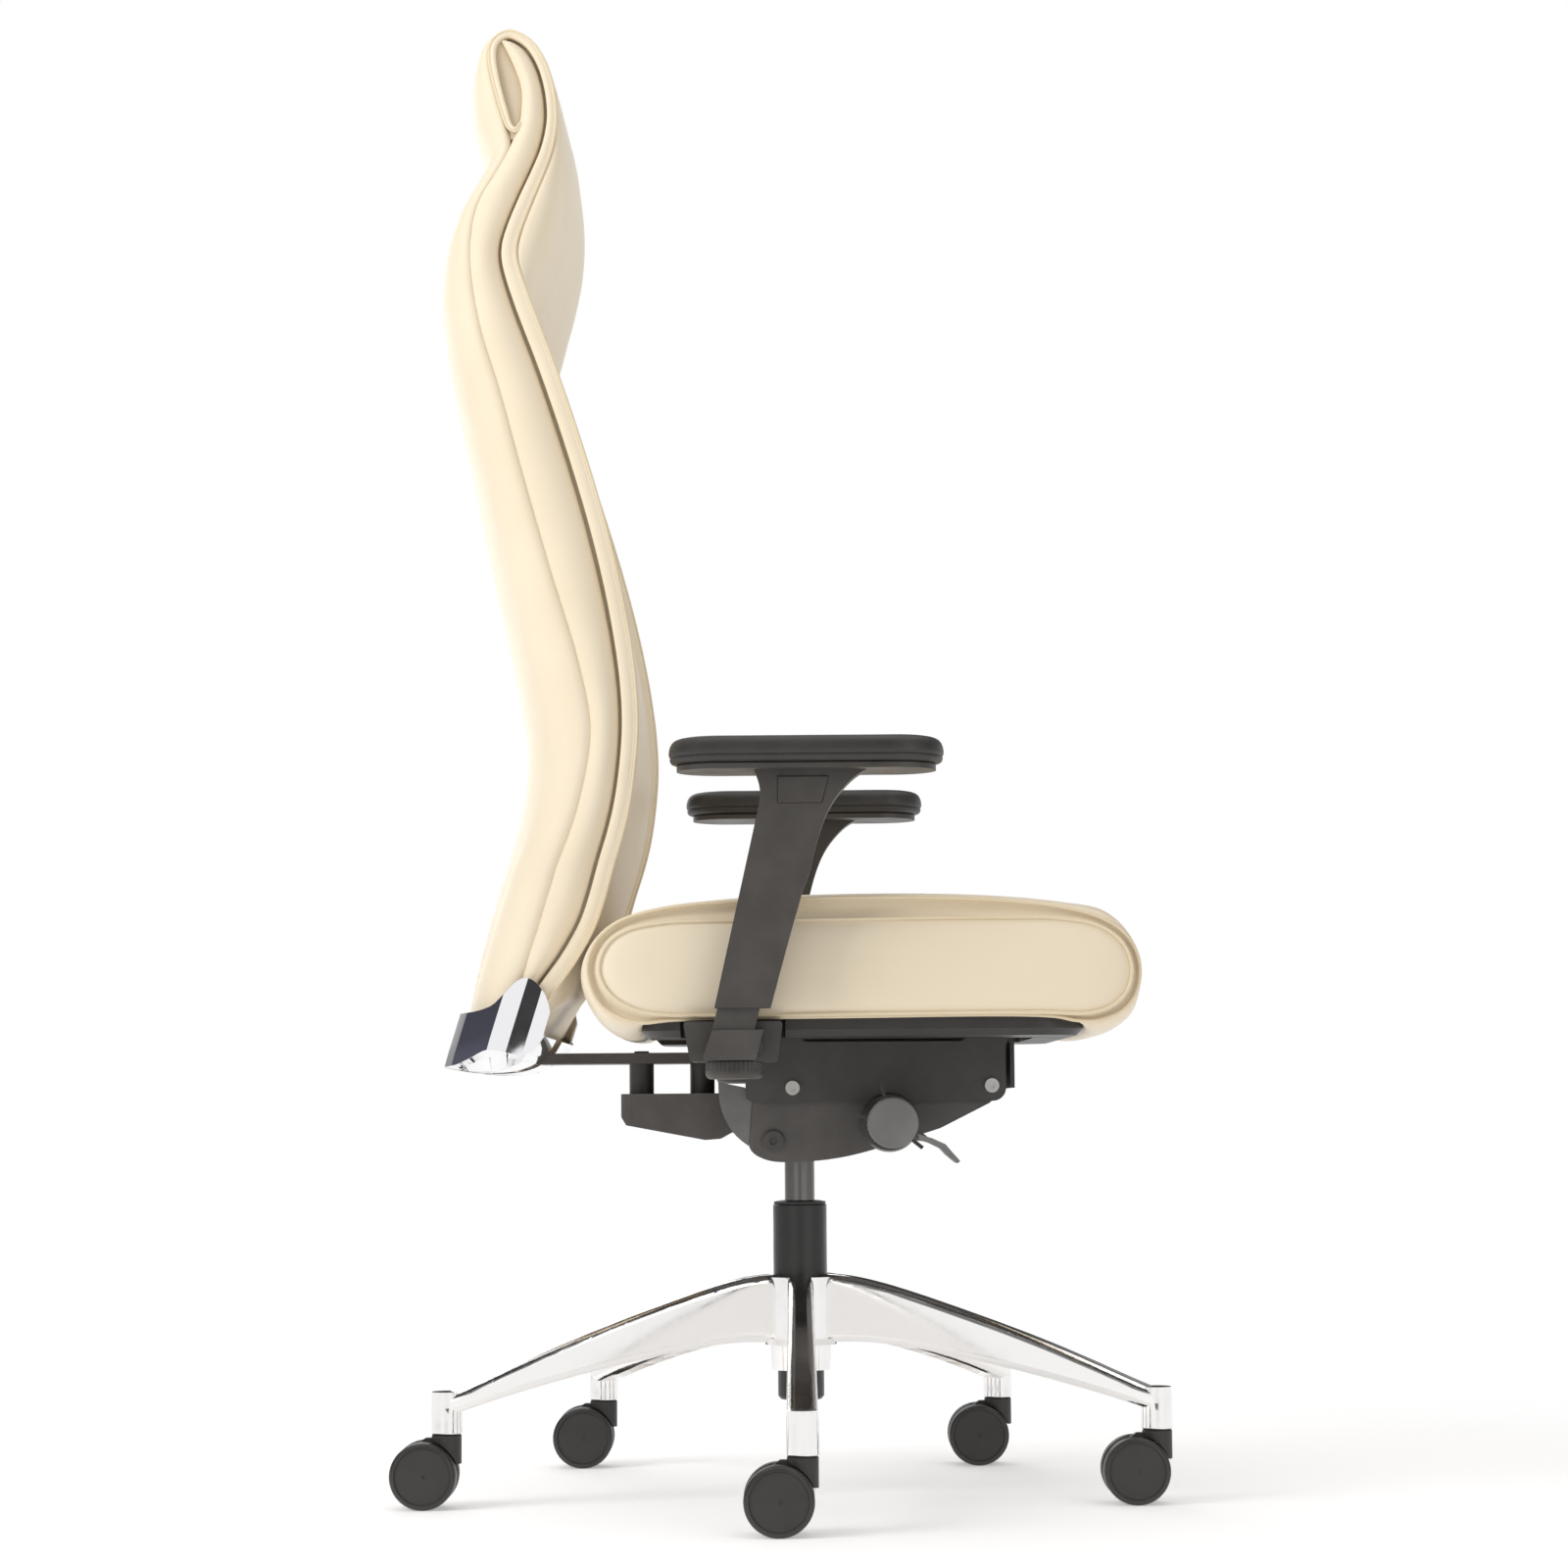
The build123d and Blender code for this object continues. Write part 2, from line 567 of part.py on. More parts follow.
export_step(seat_carrier.part, "parts/seat_carrier.step")

with BuildPart() as carrier_bolts:
    for sign in (-1, 1):
        with BuildSketch(side_slab(sign, HOUSING_HALF - WALL, PLATE_OUTER + 0.5)):
            with Locations(TILT_PIVOT):
                Circle(5)
        extrude(amount=PLATE_OUTER + 0.5 - HOUSING_HALF + WALL)
        with BuildSketch(side_slab(sign, PLATE_INNER - 1, PLATE_OUTER + 0.5)):
            with Locations(REAR_BOLT):
                Circle(3)
        extrude(amount=PLATE_OUTER + 1.5 - PLATE_INNER)
        with BuildSketch(side_slab(sign, PLATE_OUTER + 0.1, PLATE_OUTER + 3.6)):
            with Locations(TILT_PIVOT, REAR_BOLT):
                Circle(6.5)
        extrude(amount=3.5)
    for sign in (-1, 1):
        with BuildSketch(side_slab(sign, PLATE_OUTER + 1.5, PLATE_OUTER + 8)):
            with Locations(TILT_PIVOT, REAR_BOLT):
                RegularPolygon(3, 6)
        extrude(amount=6.5, mode=Mode.SUBTRACT)
carrier_bolts.part.label = "carrier_bolts"
export_step(carrier_bolts.part, "parts/carrier_bolts.step")

# ---------------------------------------------------------------- seat
with BuildPart() as seat_pan:
    with BuildSketch(Plane.XY.offset(PAN_BOTTOM)):
        with Locations((0, -57)):
            RectangleRounded(452, 384, 40)
    extrude(amount=PAN_TOP - PAN_BOTTOM)
    with BuildSketch(Plane.XY.offset(428)):
        with Locations((-PLATE_OUTER - 7, -60), (PLATE_OUTER + 7, -60)):
            Rectangle(8, 240)
    extrude(amount=PAN_BOTTOM - 428)
seat_pan.part.label = "seat_pan"
export_step(seat_pan.part, "parts/seat_pan.step")

with BuildPart() as seat_undertray:
    with BuildSketch(Plane.XY.offset(TRAY_BOTTOM)):
        with Locations((0, -56.5)):
            RectangleRounded(470, 391, 45)
    extrude(amount=PAN_BOTTOM - 0.3 - TRAY_BOTTOM)
    chamfer(seat_undertray.faces().sort_by(Axis.Z)[0].edges(), length=6)
    with BuildSketch(Plane.XY.offset(TRAY_BOTTOM - 1)):
        with Locations((0, 0)):
            Rectangle(2 * (PLATE_OUTER + 20), 2 * 214)
        with Locations((-213, 58), (213, 58)):
            Rectangle(60, 92)
    extrude(amount=30, mode=Mode.SUBTRACT)
seat_undertray.part.label = "seat_undertray"
export_step(seat_undertray.part, "parts/seat_undertray.step")

with BuildPart() as seat_cushion:
    with BuildSketch(side_plane(0)):
        with BuildLine():
            Spline((-141, 419), (-165, 422), (-184, 438), (-195, 467), (-169, 520), (-120, 541), (50, 552),
                   (170, 550), (262, 538), (298, 496), (304, 467), (296, 434), (280, 423), (254, 420))
            Polyline((254, 420), (254, 436), (-141, 436), (-141, 419))
        make_face()
    extrude(amount=SEAT_HALF, both=True)
    with BuildSketch(Plane.XY.offset(400)):
        with Locations((0, -54.5)):
            RectangleRounded(2 * SEAT_HALF, 500, 38)
    extrude(amount=200, mode=Mode.INTERSECT)
    with BuildSketch(Plane.XY.offset(400)):
        with Locations((0, -56.5)):
            RectangleRounded(472, 394, 30)
    extrude(amount=PAN_TOP + 0.5 - 400, mode=Mode.SUBTRACT)
seat_cushion.part.label = "seat_cushion"
export_step(seat_cushion.part, "parts/seat_cushion.step")

# ---------------------------------------------------------------- armrests
LEAN = tan(radians(ARM_TILT))
TONGUE_LOW = 405.0
TONGUE_HIGH = 415.0
KNOB_SPOT = 243.0              # knob axis, from the chair's middle plane
HAND_KNOB_RADIUS = 25.5
ARM_MIDDLE = -56.5             # forward position of the hand knob and the tongue
POST_INNER = 267.0
POST_OUTER = 283.0

for side, sign in (("right", -1), ("left", 1)):
    with BuildPart() as arm_bracket:
        with BuildSketch(side_slab(sign, 190, 260)):
            with BuildLine():
                Polyline((-95, 397.3), (-19, 397.3), (-14, 432), (-101, 432), close=True)
            make_face()
        extrude(amount=70)
        fillet(arm_bracket.edges().filter_by(Axis.X), radius=3)
        with BuildSketch(side_slab(sign, 190, 232)):
            with Locations((-57.5, 434)):
                Rectangle(84, 7.6)
        extrude(amount=42)
        with BuildSketch(side_slab(sign, 180, 270)):
            with Locations((ARM_MIDDLE, (TONGUE_LOW + TONGUE_HIGH) / 2)):
                Rectangle(50 + 4 * FIT, TONGUE_HIGH - TONGUE_LOW + 2 * FIT)
        extrude(amount=90, mode=Mode.SUBTRACT)
        with BuildSketch(Plane.XY.offset(390)):
            with Locations((sign * KNOB_SPOT, -ARM_MIDDLE)):
                Circle(4 + FIT)
        extrude(amount=37, mode=Mode.SUBTRACT)
    arm_bracket.part.label = f"arm_bracket_{side}"
    export_step(arm_bracket.part, f"parts/arm_bracket_{side}.step")

    with BuildPart() as arm_knob:
        with BuildSketch(Plane.XY.offset(382)):
            with Locations((sign * KNOB_SPOT, -ARM_MIDDLE)):
                Circle(HAND_KNOB_RADIUS)
        extrude(amount=15)
        fillet(arm_knob.faces().sort_by(Axis.Z)[0].edges(), radius=5)
        with BuildSketch(Plane.XY.offset(389)):
            with Locations((sign * KNOB_SPOT, -ARM_MIDDLE)):
                with PolarLocations(HAND_KNOB_RADIUS + 0.4, 40):
                    Circle(1.1)
        extrude(amount=10, mode=Mode.SUBTRACT)
        with BuildSketch(Plane.XY.offset(390)):
            with Locations((sign * KNOB_SPOT, -ARM_MIDDLE)):
                Circle(4)
        extrude(amount=36.5)
    arm_knob.part.label = f"arm_knob_{side}"
    export_step(arm_knob.part, f"parts/arm_knob_{side}.step")

    with BuildPart() as arm_post:
        with BuildSketch(side_slab(sign, POST_INNER, POST_OUTER)):
            with BuildLine():
                Polyline((-80, 402), (-43.5, 402), (-43.5 + 192 * LEAN, 594), (-80 + 192 * LEAN, 594), close=True)
            make_face()
        extrude(amount=POST_OUTER - POST_INNER)
        with BuildSketch(side_slab(sign, 262.4, 287.6)):
            with BuildLine():
                Polyline((-84, 398), (-37.5, 398), (-37 + 26 * LEAN, 424), (-81 + 26 * LEAN, 424), close=True)
            make_face()
        extrude(amount=25.2)
        fillet(arm_post.edges().filter_by(Axis.X).sort_by(Axis.Z)[:2], radius=3)
        with BuildSketch(side_slab(sign, 186, 266)):
            with Locations((ARM_MIDDLE, (TONGUE_LOW + TONGUE_HIGH) / 2)):
                Rectangle(50, TONGUE_HIGH - TONGUE_LOW)
        extrude(amount=80)
        with BuildSketch(Plane.XY.offset(TONGUE_LOW - 1)):
            with Locations((sign * (KNOB_SPOT - 14), -ARM_MIDDLE)):
                SlotOverall(41, 12)
        extrude(amount=TONGUE_HIGH - TONGUE_LOW + 2, mode=Mode.SUBTRACT)
    arm_post.part.label = f"arm_post_{side}"
    export_step(arm_post.part, f"parts/arm_post_{side}.step")

    with BuildPart() as arm_sleeve:
        with BuildSketch(side_slab(sign, ARM_INNER, ARM_OUTER)):
            with BuildLine():
                Line((-73, 443), (-33.5, 618))
                Spline((-33.5, 618), (-33, 636), (-38, 650), tangents=((0.22, 1), (-0.6, 1)))
                Polyline((-38, 650), (66, 650))
                Spline((66, 650), (43, 636), (27, 614), (12, 568), (-24.5, 443),
                       tangents=((-1, -0.2), (-0.27, -1)))
                Line((-24.5, 443), (-73, 443))
            make_face()
        extrude(amount=ARM_OUTER - ARM_INNER)
        with BuildSketch(Plane.XY.offset(648.5)):
            with Locations((sign * PAD_MIDDLE, -8)):
                SlotOverall(PAD_LENGTH - 14, PAD_WIDTH - 14, rotation=90)
        extrude(amount=PAD_BOTTOM - 0.3 - 648.5)
        with BuildSketch(side_slab(sign, POST_INNER, POST_OUTER)):
            with BuildLine():
                low = (-80.0 + (440 - 402) * LEAN, 440)
                high = (-80.0 + (611 - 402) * LEAN, 611)
                Polyline(
                    (low[0] - 0.1, low[1]), (low[0] + 36.7, low[1]),
                    (high[0] + 36.7, high[1]), (high[0] - 0.1, high[1]), close=True,
                )
            make_face()
        extrude(amount=POST_OUTER - POST_INNER, mode=Mode.SUBTRACT)
        with BuildSketch(side_slab(sign, ARM_OUTER - 6, ARM_OUTER)):
            with BuildLine():
                Polyline((-17.3, 643.3), (27.3, 643.3), (21.3, 619.7), (-17.3, 619.7), close=True)
            make_face()
        extrude(amount=6, mode=Mode.SUBTRACT)
    arm_sleeve.part.label = f"arm_sleeve_{side}"
    export_step(arm_sleeve.part, f"parts/arm_sleeve_{side}.step")

    with BuildPart() as arm_button:
        with BuildSketch(side_slab(sign, ARM_OUTER - 2.5, ARM_OUTER + 1.5)):
            with BuildLine():
                Polyline((-17, 643), (27, 643), (21, 620), (-17, 620), close=True)
            make_face()
        extrude(amount=4)
        fillet(arm_button.faces().filter_by(Axis.X).sort_by(Axis.X)[0 if sign < 0 else -1].edges(), radius=1)
    arm_button.part.label = f"arm_button_{side}"
    export_step(arm_button.part, f"parts/arm_button_{side}.step")

    with BuildPart() as arm_pad:
        with BuildSketch(Plane.XY.offset(PAD_BOTTOM)):
            with Locations((sign * PAD_MIDDLE, -8)):
                SlotOverall(PAD_LENGTH, PAD_WIDTH, rotation=90)
        extrude(amount=PAD_TOP - PAD_BOTTOM)
        fillet(arm_pad.faces().sort_by(Axis.Z)[-1].edges(), radius=9)
        fillet(arm_pad.faces().sort_by(Axis.Z)[0].edges(), radius=6)
    arm_pad.part.label = f"arm_pad_{side}"
    export_step(arm_pad.part, f"parts/arm_pad_{side}.step")

# ---------------------------------------------------------------- back
# Heights along the back, each with its half width, rear face, core middle line and front face.
# Rear, core and front are forward positions at the middle of the back.
BACK_SECTIONS = (
    (407.0, 199.0, -308.5, -261.3, -238.0),
    (440.0, 204.0, -298.0, -253.2, -214.0),
    (475.0, 206.0, -297.5, -244.6, -202.0),
    (573.0, 229.0, -269.0, -220.7, -157.0),
    (660.0, 237.0, -248.5, -205.0, -142.5),
    (710.0, 239.0, -251.0, -206.0, -142.5),
    (800.0, 239.0, -270.5, -224.5, -154.0),
    (918.0, 232.0, -295.0, -252.0, -183.0),
    (1000.0, 222.0, -311.5, -270.0, -207.0),
    (1083.0, 206.0, -326.0, -284.0, -234.0),
    (1139.0, 194.0, -323.0, -281.0, -214.0),
    (1189.5, 183.0, -305.0, -262.0, -204.0),
)
# Heights up the head roll, each with its half width, rear face and front face.
HEAD_SECTIONS = (
    (1190.5, 183.0, -304.0, -204.0),
    (1232.0, 174.0, -285.0, -208.0),
    (1265.0, 169.0, -296.0, -216.0),
    (1300.0, 162.0, -301.0, -221.0),
    (1328.0, 155.0, -295.0, -228.0),
    (1343.0, 146.0, -284.0, -239.0),
)
CORE_THICK = 10.0
SOFT_GAP = 0.5                 # between a soft layer and the core shell
CORE_BOTTOM = 436.0
CORE_MARGIN = 8.0              # the core shell stops this far inside the soft edges
BAR_SLOT = BAR_HALF + 1.5


def core_band(thickness):
    """Curved slab of the given thickness along the middle line of the core shell."""
    with BuildPart() as band:
        with BuildSketch(side_plane(0)):
            with BuildLine():
                foot_run = Line((-254.2, CORE_BOTTOM), BAR_HEAD)
                Spline(BAR_HEAD, *[(core, z) for z, width, rear, core, front in BACK_SECTIONS[4:]],
                       tangents=(foot_run % 1, (0.45, 1)))
            trace(line_width=thickness)
        extrude(amount=300, both=True)
    return band.part


with BuildPart() as back_core:
    add(core_band(CORE_THICK))
    with BuildSketch(Plane.XZ.offset(-400)):
        with BuildLine():
            right_edge = Spline(*[(width - CORE_MARGIN, z) for z, width, *rest in BACK_SECTIONS])
            left_edge = Spline(*[(CORE_MARGIN - width, z) for z, width, *rest in BACK_SECTIONS])
            Line(right_edge @ 0, left_edge @ 0)
            Line(right_edge @ 1, left_edge @ 1)
        make_face()
    extrude(amount=800, mode=Mode.INTERSECT)
    with BuildSketch(Plane.XZ.offset(-400)):
        with Locations((0, BAR_HEAD[1] - 100)):
            Rectangle(2 * BAR_SLOT, 208)
    extrude(amount=800, mode=Mode.SUBTRACT)
back_core.part.label = "back_core"
export_step(back_core.part, "parts/back_core.step")

with BuildPart() as back_cover:
    for z, width, rear, core, front in BACK_SECTIONS:
        flat = core - CORE_THICK / 2 - SOFT_GAP
        with BuildSketch(Plane.XY.offset(z)):
            with BuildLine():
                ThreePointArc((-width, -flat), (0, -rear), (width, -flat))
                Line((-width, -flat), (width, -flat))
            make_face()
    loft()
    with BuildSketch(Plane.XY.offset(390)):
        with Locations((0, 221)):
            Rectangle(2 * BAR_SLOT, 100)
    extrude(amount=36, mode=Mode.SUBTRACT)
    add(core_band(CORE_THICK + 2 * SOFT_GAP), mode=Mode.SUBTRACT)
back_cover.part.label = "back_cover"
export_step(back_cover.part, "parts/back_cover.step")

with BuildPart() as back_cushion:
    for z, width, rear, core, front in BACK_SECTIONS:
        flat = core + CORE_THICK / 2 + SOFT_GAP
        with BuildSketch(Plane.XY.offset(z)):
            with Locations((0, -(flat + front) / 2)):
                RectangleRounded(2 * width, front - flat, 8)
    loft()
    extrude(back_cushion.faces().sort_by(Axis.Z)[-1], amount=HEAD_SECTIONS[0][0] - BACK_SECTIONS[-1][0])
    for z, width, rear, front in HEAD_SECTIONS:
        with BuildSketch(Plane.XY.offset(z)):
            with Locations((0, -(rear + front) / 2)):
                RectangleRounded(2 * width, front - rear, 20)
    loft()
    with BuildSketch(Plane.XY.offset(390)):
        with Locations((0, 221)):
            Rectangle(2 * BAR_SLOT, 100)
    extrude(amount=36, mode=Mode.SUBTRACT)
    add(core_band(CORE_THICK + 2 * SOFT_GAP), mode=Mode.SUBTRACT)
back_cushion.part.label = "back_cushion"
export_step(back_cushion.part, "parts/back_cushion.step")

CHEEK = 8.0                    # thickness of the bracket's cheeks
BRACKET_WALL = 4.5


def wrap_form(side_points, wall, cheek):
    """Side profile of the bracket, trimmed to its rounded plan, both moved in by the wall."""
    half = BRACKET_HALF - cheek
    corner = ((half, 190), (half, 258), (half - 6, 277 - wall), (half - 25, 297 - wall), (150, 313 - wall))
    with BuildPart() as form:
        with BuildSketch(side_plane(0)):
            with BuildLine():
                Polyline(*side_points, close=True)
            make_face()
        extrude(amount=half, both=True)
        with BuildSketch(Plane.XY.offset(380)):
            with BuildLine():
                left_side = Polyline(*corner)
                right_side = Polyline(*[(-x, y) for x, y in corner])
                ThreePointArc(left_side @ 1, (0, 320.5 - wall), right_side @ 1)
                Line(left_side @ 0, right_side @ 0)
            make_face()
        extrude(amount=160, mode=Mode.INTERSECT)
    return form.part


with BuildPart() as back_bracket:
    add(wrap_form(
        ((-320, 395), (-315, 390), (-289, 388), (-245, 401), (-231, 417), (-225, 428), (-220, 444),
         (-221, 456), (-226, 465), (-236, 473), (-246, 474), (-262, 458), (-271, 450), (-283, 446),
         (-303, 447)),
        wall=0, cheek=0,
    ))
    add(wrap_form(
        ((-315, 399), (-313, 394.5), (-290, 392.5), (-247, 405.5), (-200, 405.5), (-200, 520), (-298, 520),
         (-298, 447)),
        wall=BRACKET_WALL, cheek=CHEEK,
    ), mode=Mode.SUBTRACT)
    with BuildSketch(Plane.XY.offset(380)):
        with Locations((0, 236)):
            Rectangle(2 * BAR_SLOT, 84)
    extrude(amount=40, mode=Mode.SUBTRACT)
back_bracket.part.label = "back_bracket"
export_step(back_bracket.part, "parts/back_bracket.step")
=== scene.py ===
import json
import math

import bmesh
import bpy
import numpy as np
from mathutils import Matrix, Vector


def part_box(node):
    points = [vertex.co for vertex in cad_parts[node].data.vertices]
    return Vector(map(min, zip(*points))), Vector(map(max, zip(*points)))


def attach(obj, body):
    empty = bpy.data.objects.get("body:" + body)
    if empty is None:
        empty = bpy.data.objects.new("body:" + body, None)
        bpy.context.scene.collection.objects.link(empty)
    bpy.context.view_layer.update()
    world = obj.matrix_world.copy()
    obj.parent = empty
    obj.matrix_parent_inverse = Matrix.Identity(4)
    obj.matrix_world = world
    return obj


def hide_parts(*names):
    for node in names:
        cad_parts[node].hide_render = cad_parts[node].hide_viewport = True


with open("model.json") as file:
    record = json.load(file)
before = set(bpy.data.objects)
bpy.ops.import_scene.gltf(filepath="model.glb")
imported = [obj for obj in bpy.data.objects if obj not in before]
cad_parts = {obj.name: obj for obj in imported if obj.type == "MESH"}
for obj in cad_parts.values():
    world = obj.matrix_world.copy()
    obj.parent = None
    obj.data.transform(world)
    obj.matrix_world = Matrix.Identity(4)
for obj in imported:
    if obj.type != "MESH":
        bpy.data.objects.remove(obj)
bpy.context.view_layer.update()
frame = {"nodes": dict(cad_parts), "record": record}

# Swivel office chair: upholstery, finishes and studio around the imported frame.
# Outlines are in millimetres as (forward, up); forward is -Y, and the camera is on the sitter's right, at -X.

MM = 0.001
NODES = frame["nodes"]
SIDES = (("right", -1), ("left", 1))
TOP_KEY = 20                   # index of the back's topmost point in COVER_LINE
CURVE_STEPS = 16               # dense points of a smooth curve for each of its key points

# The leather cover of the back, once round from the front foot over the head to the rear foot:
# (middle forward, up, side edge forward, up).
COVER_LINE = (
    (-252, 402, -252, 404), (-237, 424, -236, 428), (-218, 452, -220, 458), (-206, 480, -202, 482),
    (-186, 519, -180, 519), (-168, 570, -163, 572), (-154, 625, -149, 622), (-148, 690, -141, 695),
    (-155, 765, -147, 768), (-173, 855, -165, 857), (-196, 945, -190, 945), (-219, 1025, -217, 1026),
    (-232, 1076, -240, 1088), (-224, 1108, -251, 1124), (-214, 1142, -249, 1146), (-206, 1182, -236, 1184),
    (-205, 1222, -221, 1226), (-210, 1262, -216, 1262), (-218, 1300, -222, 1302), (-234, 1336, -238, 1335),
    (-262, 1355, -260, 1348),
    (-289, 1340, -275, 1338), (-300, 1308, -277, 1318), (-300, 1280, -269, 1282), (-293, 1252, -261, 1254),
    (-287, 1231, -257, 1232), (-294, 1212, -267, 1210), (-310, 1182, -284, 1178), (-324, 1142, -290, 1142),
    (-328, 1100, -288, 1103), (-323, 1055, -279, 1055), (-311, 995, -261, 996), (-294, 915, -239, 915),
    (-276, 830, -214, 828), (-258, 748, -190, 748), (-248, 680, -180, 688), (-254, 622, -192, 622),
    (-271, 570, -212, 568), (-287, 520, -228, 519), (-299, 482, -240, 482), (-305, 455, -247, 455),
    (-305, 424, -254, 426), (-307, 403, -260, 405),
)
# Half width of the back at each height.
BACK_HALF = (
    (395, 198), (440, 203), (475, 206), (573, 229), (660, 237), (755, 240), (840, 238), (918, 232),
    (1000, 222), (1083, 206), (1139, 194), (1189, 183), (1232, 174), (1265, 169), (1300, 162),
    (1328, 155), (1360, 145),
)
# The rear seam of the side bolster, from the foot to its tip inside the head loop.
BOLSTER_SEAM = (
    (-252, 430), (-249, 455), (-243, 482), (-231, 519), (-215, 568), (-195, 622), (-183, 690), (-193, 748),
    (-217, 828), (-242, 915), (-264, 996), (-282, 1055), (-291, 1103), (-293, 1142), (-287, 1178),
    (-270, 1210), (-257, 1236), (-250, 1254), (-248, 1266), (-248, 1290), (-254, 1310), (-262, 1328),
    (-267, 1338),
)
# The recessed end panel behind the bolster's tip: rear edge, front edge.
END_PANEL_LINE = (
    (-260, 1240, -250, 1240), (-262, 1262, -245, 1264), (-267, 1280, -243, 1282), (-271, 1300, -246, 1300),
    (-275, 1318, -254, 1316), (-276, 1334, -260, 1330), (-272, 1345, -263, 1344),
)
# Where the welt hooks round the lower end of the head loop.
WELT_HOOK = ((-259, 1252), (-254, 1248), (-249, 1250), (-247, 1256))
# Width of the welt at each share of its length.
WELT_WIDTH = ((0.0, 13.0), (0.62, 13.5), (0.72, 11.0), (0.79, 8.0), (0.86, 6.8), (0.97, 5.0), (1.0, 3.0))
WELT_GAP = 1.6                 # open groove between the welt and the bolster

# The seat cushion, once round from under the middle to the rear, over the top and down the front:
# side gusset seam, top pad piping, middle of the cushion, each (forward, up).
SEAT_LINE = (
    ((50, 438), (50, 436), (50, 449)),
    ((-112, 438), (-110, 434), (-134, 449)),
    ((-140, 442), (-143, 432), (-142, 422)),
    ((-162, 454), (-170, 444), (-166, 423)),
    ((-173, 470), (-182, 462), (-184, 440)),
    ((-174, 486), (-185, 484), (-195, 466)),
    ((-166, 502), (-177, 504), (-193, 488)),
    ((-149, 513), (-158, 520), (-178, 512)),
    ((-118, 519), (-122, 531), (-144, 530)),
    ((-60, 520.5), (-60, 537), (-74, 542)),
    ((50, 521), (50, 540), (50, 547)),
    ((170, 521.5), (170, 537), (166, 545)),
    ((232, 520), (236, 529), (234, 539)),
    ((264, 513), (270, 518), (270, 533)),
    ((283, 499), (289, 503), (289, 515)),
    ((291, 479), (298, 482), (300, 492)),
    ((288, 459), (296, 458), (303, 464)),
    ((276, 445), (283, 440), (298, 438)),
    ((258, 438), (261, 431), (278, 422)),
    ((240, 437), (243, 431), (257, 421)),
    ((220, 438), (222, 435), (250, 449)),
)
SEAT_HALF = 248.0
GUSSET_AXIS = (-131.0, 248.0, 479.0)   # rear end, front end and height of the gusset's middle line


# ---------------------------------------------------------------- curves
def smooth(points, closed=False, steps=CURVE_STEPS):
    """Dense points on a smooth curve through the given points, which each key point is one of."""
    keys = np.array(points, float)
    if closed:
        keys = np.vstack([keys[-1:], keys, keys[:2]])
    else:
        keys = np.vstack([2 * keys[0] - keys[1], keys, 2 * keys[-1] - keys[-2]])
    gaps = np.sqrt(np.maximum(np.linalg.norm(np.diff(keys, axis=0), axis=1), 1e-9))
    rows = []
    for i in range(1, len(keys) - 2):
        before, here, after = gaps[i - 1], gaps[i], gaps[i + 1]
        slope = (keys[i + 1] - keys[i]) / here
        start = ((keys[i] - keys[i - 1]) / before * here + slope * before) / (before + here) * here
        end = (slope * after + (keys[i + 2] - keys[i + 1]) / after * here) / (here + after) * here
        t = np.linspace(0, 1, steps, endpoint=False)[:, None]
        rows.append(
            (2 * t**3 - 3 * t**2 + 1) * keys[i] + (t**3 - 2 * t**2 + t) * start
            + (3 * t**2 - 2 * t**3) * keys[i + 1] + (t**3 - t**2) * end
        )
    rows.append(keys[-2][None])
    return np.vstack(rows)


def even(curve, count, by=None):
    """count points spaced evenly along a dense curve, measured on its columns named by."""
    measured = curve if by is None else curve[:, by]
    length = np.concatenate([[0], np.cumsum(np.linalg.norm(np.diff(measured, axis=0), axis=1))])
    wanted = np.linspace(0, length[-1], count)
    return np.stack([np.interp(wanted, length, column) for column in curve.T], axis=1)


def table(pairs, value):
    """Smoothly read a table of (key, value) pairs."""
    curve = smooth(pairs)
    return np.interp(value, curve[:, 0], curve[:, 1])


def place(forward, up, x):
    """Millimetres forward, up and across to an array of points in the chair's frame, in metres."""
    return np.stack(np.broadcast_arrays(x, -np.asarray(forward), up), axis=-1) * MM


def normals(line):
    """Unit normals of a 2-D line, to the left of its direction."""
    along = np.gradient(line, axis=0)
    along /= np.linalg.norm(along, axis=1)[:, None]
    return np.stack([-along[:, 1], along[:, 0]], axis=1)


# ---------------------------------------------------------------- meshes
def new_piece(name, vertices, faces, material, levels=1):
    mesh = bpy.data.meshes.new(name)
    mesh.from_pydata([tuple(v) for v in vertices], [], faces)
    bm = bmesh.new()
    bm.from_mesh(mesh)
    bmesh.ops.remove_doubles(bm, verts=bm.verts, dist=2e-5)
    bmesh.ops.dissolve_degenerate(bm, edges=bm.edges, dist=1e-6)
    bmesh.ops.recalc_face_normals(bm, faces=bm.faces)
    bm.to_mesh(mesh)
    bm.free()
    for face in mesh.polygons:
        face.use_smooth = True
    mesh.materials.append(material)
    piece = bpy.data.objects.new(name, mesh)
    bpy.context.scene.collection.objects.link(piece)
    if levels:
        subdivide(piece, levels)
    return piece


def subdivide(piece, levels):
    modifier = piece.modifiers.new("subdivision", "SUBSURF")
    modifier.levels = levels
    modifier.render_levels = levels


def grid_faces(rows, columns, close_rows=False, close_columns=False):
    """Quads of a rows x columns grid of points."""
    faces = []
    for i in range(rows if close_rows else rows - 1):
        for j in range(columns if close_columns else columns - 1):
            a, b = i * columns, (i + 1) % rows * columns
            k = (j + 1) % columns
            faces.append((a + j, a + k, b + k, b + j))
    return faces


def loft(name, rings, material, levels=1, closed=False):
    """A skin over closed rings, an array of rings x points x 3, with flat caps unless it closes on itself."""
    count, size = rings.shape[:2]
    faces = grid_faces(count, size, close_rows=closed, close_columns=True)
    if not closed:
        faces.append(tuple(range(size))[::-1])
        faces.append(tuple((count - 1) * size + j for j in range(size)))
    return new_piece(name, rings.reshape(-1, 3), faces, material, levels)


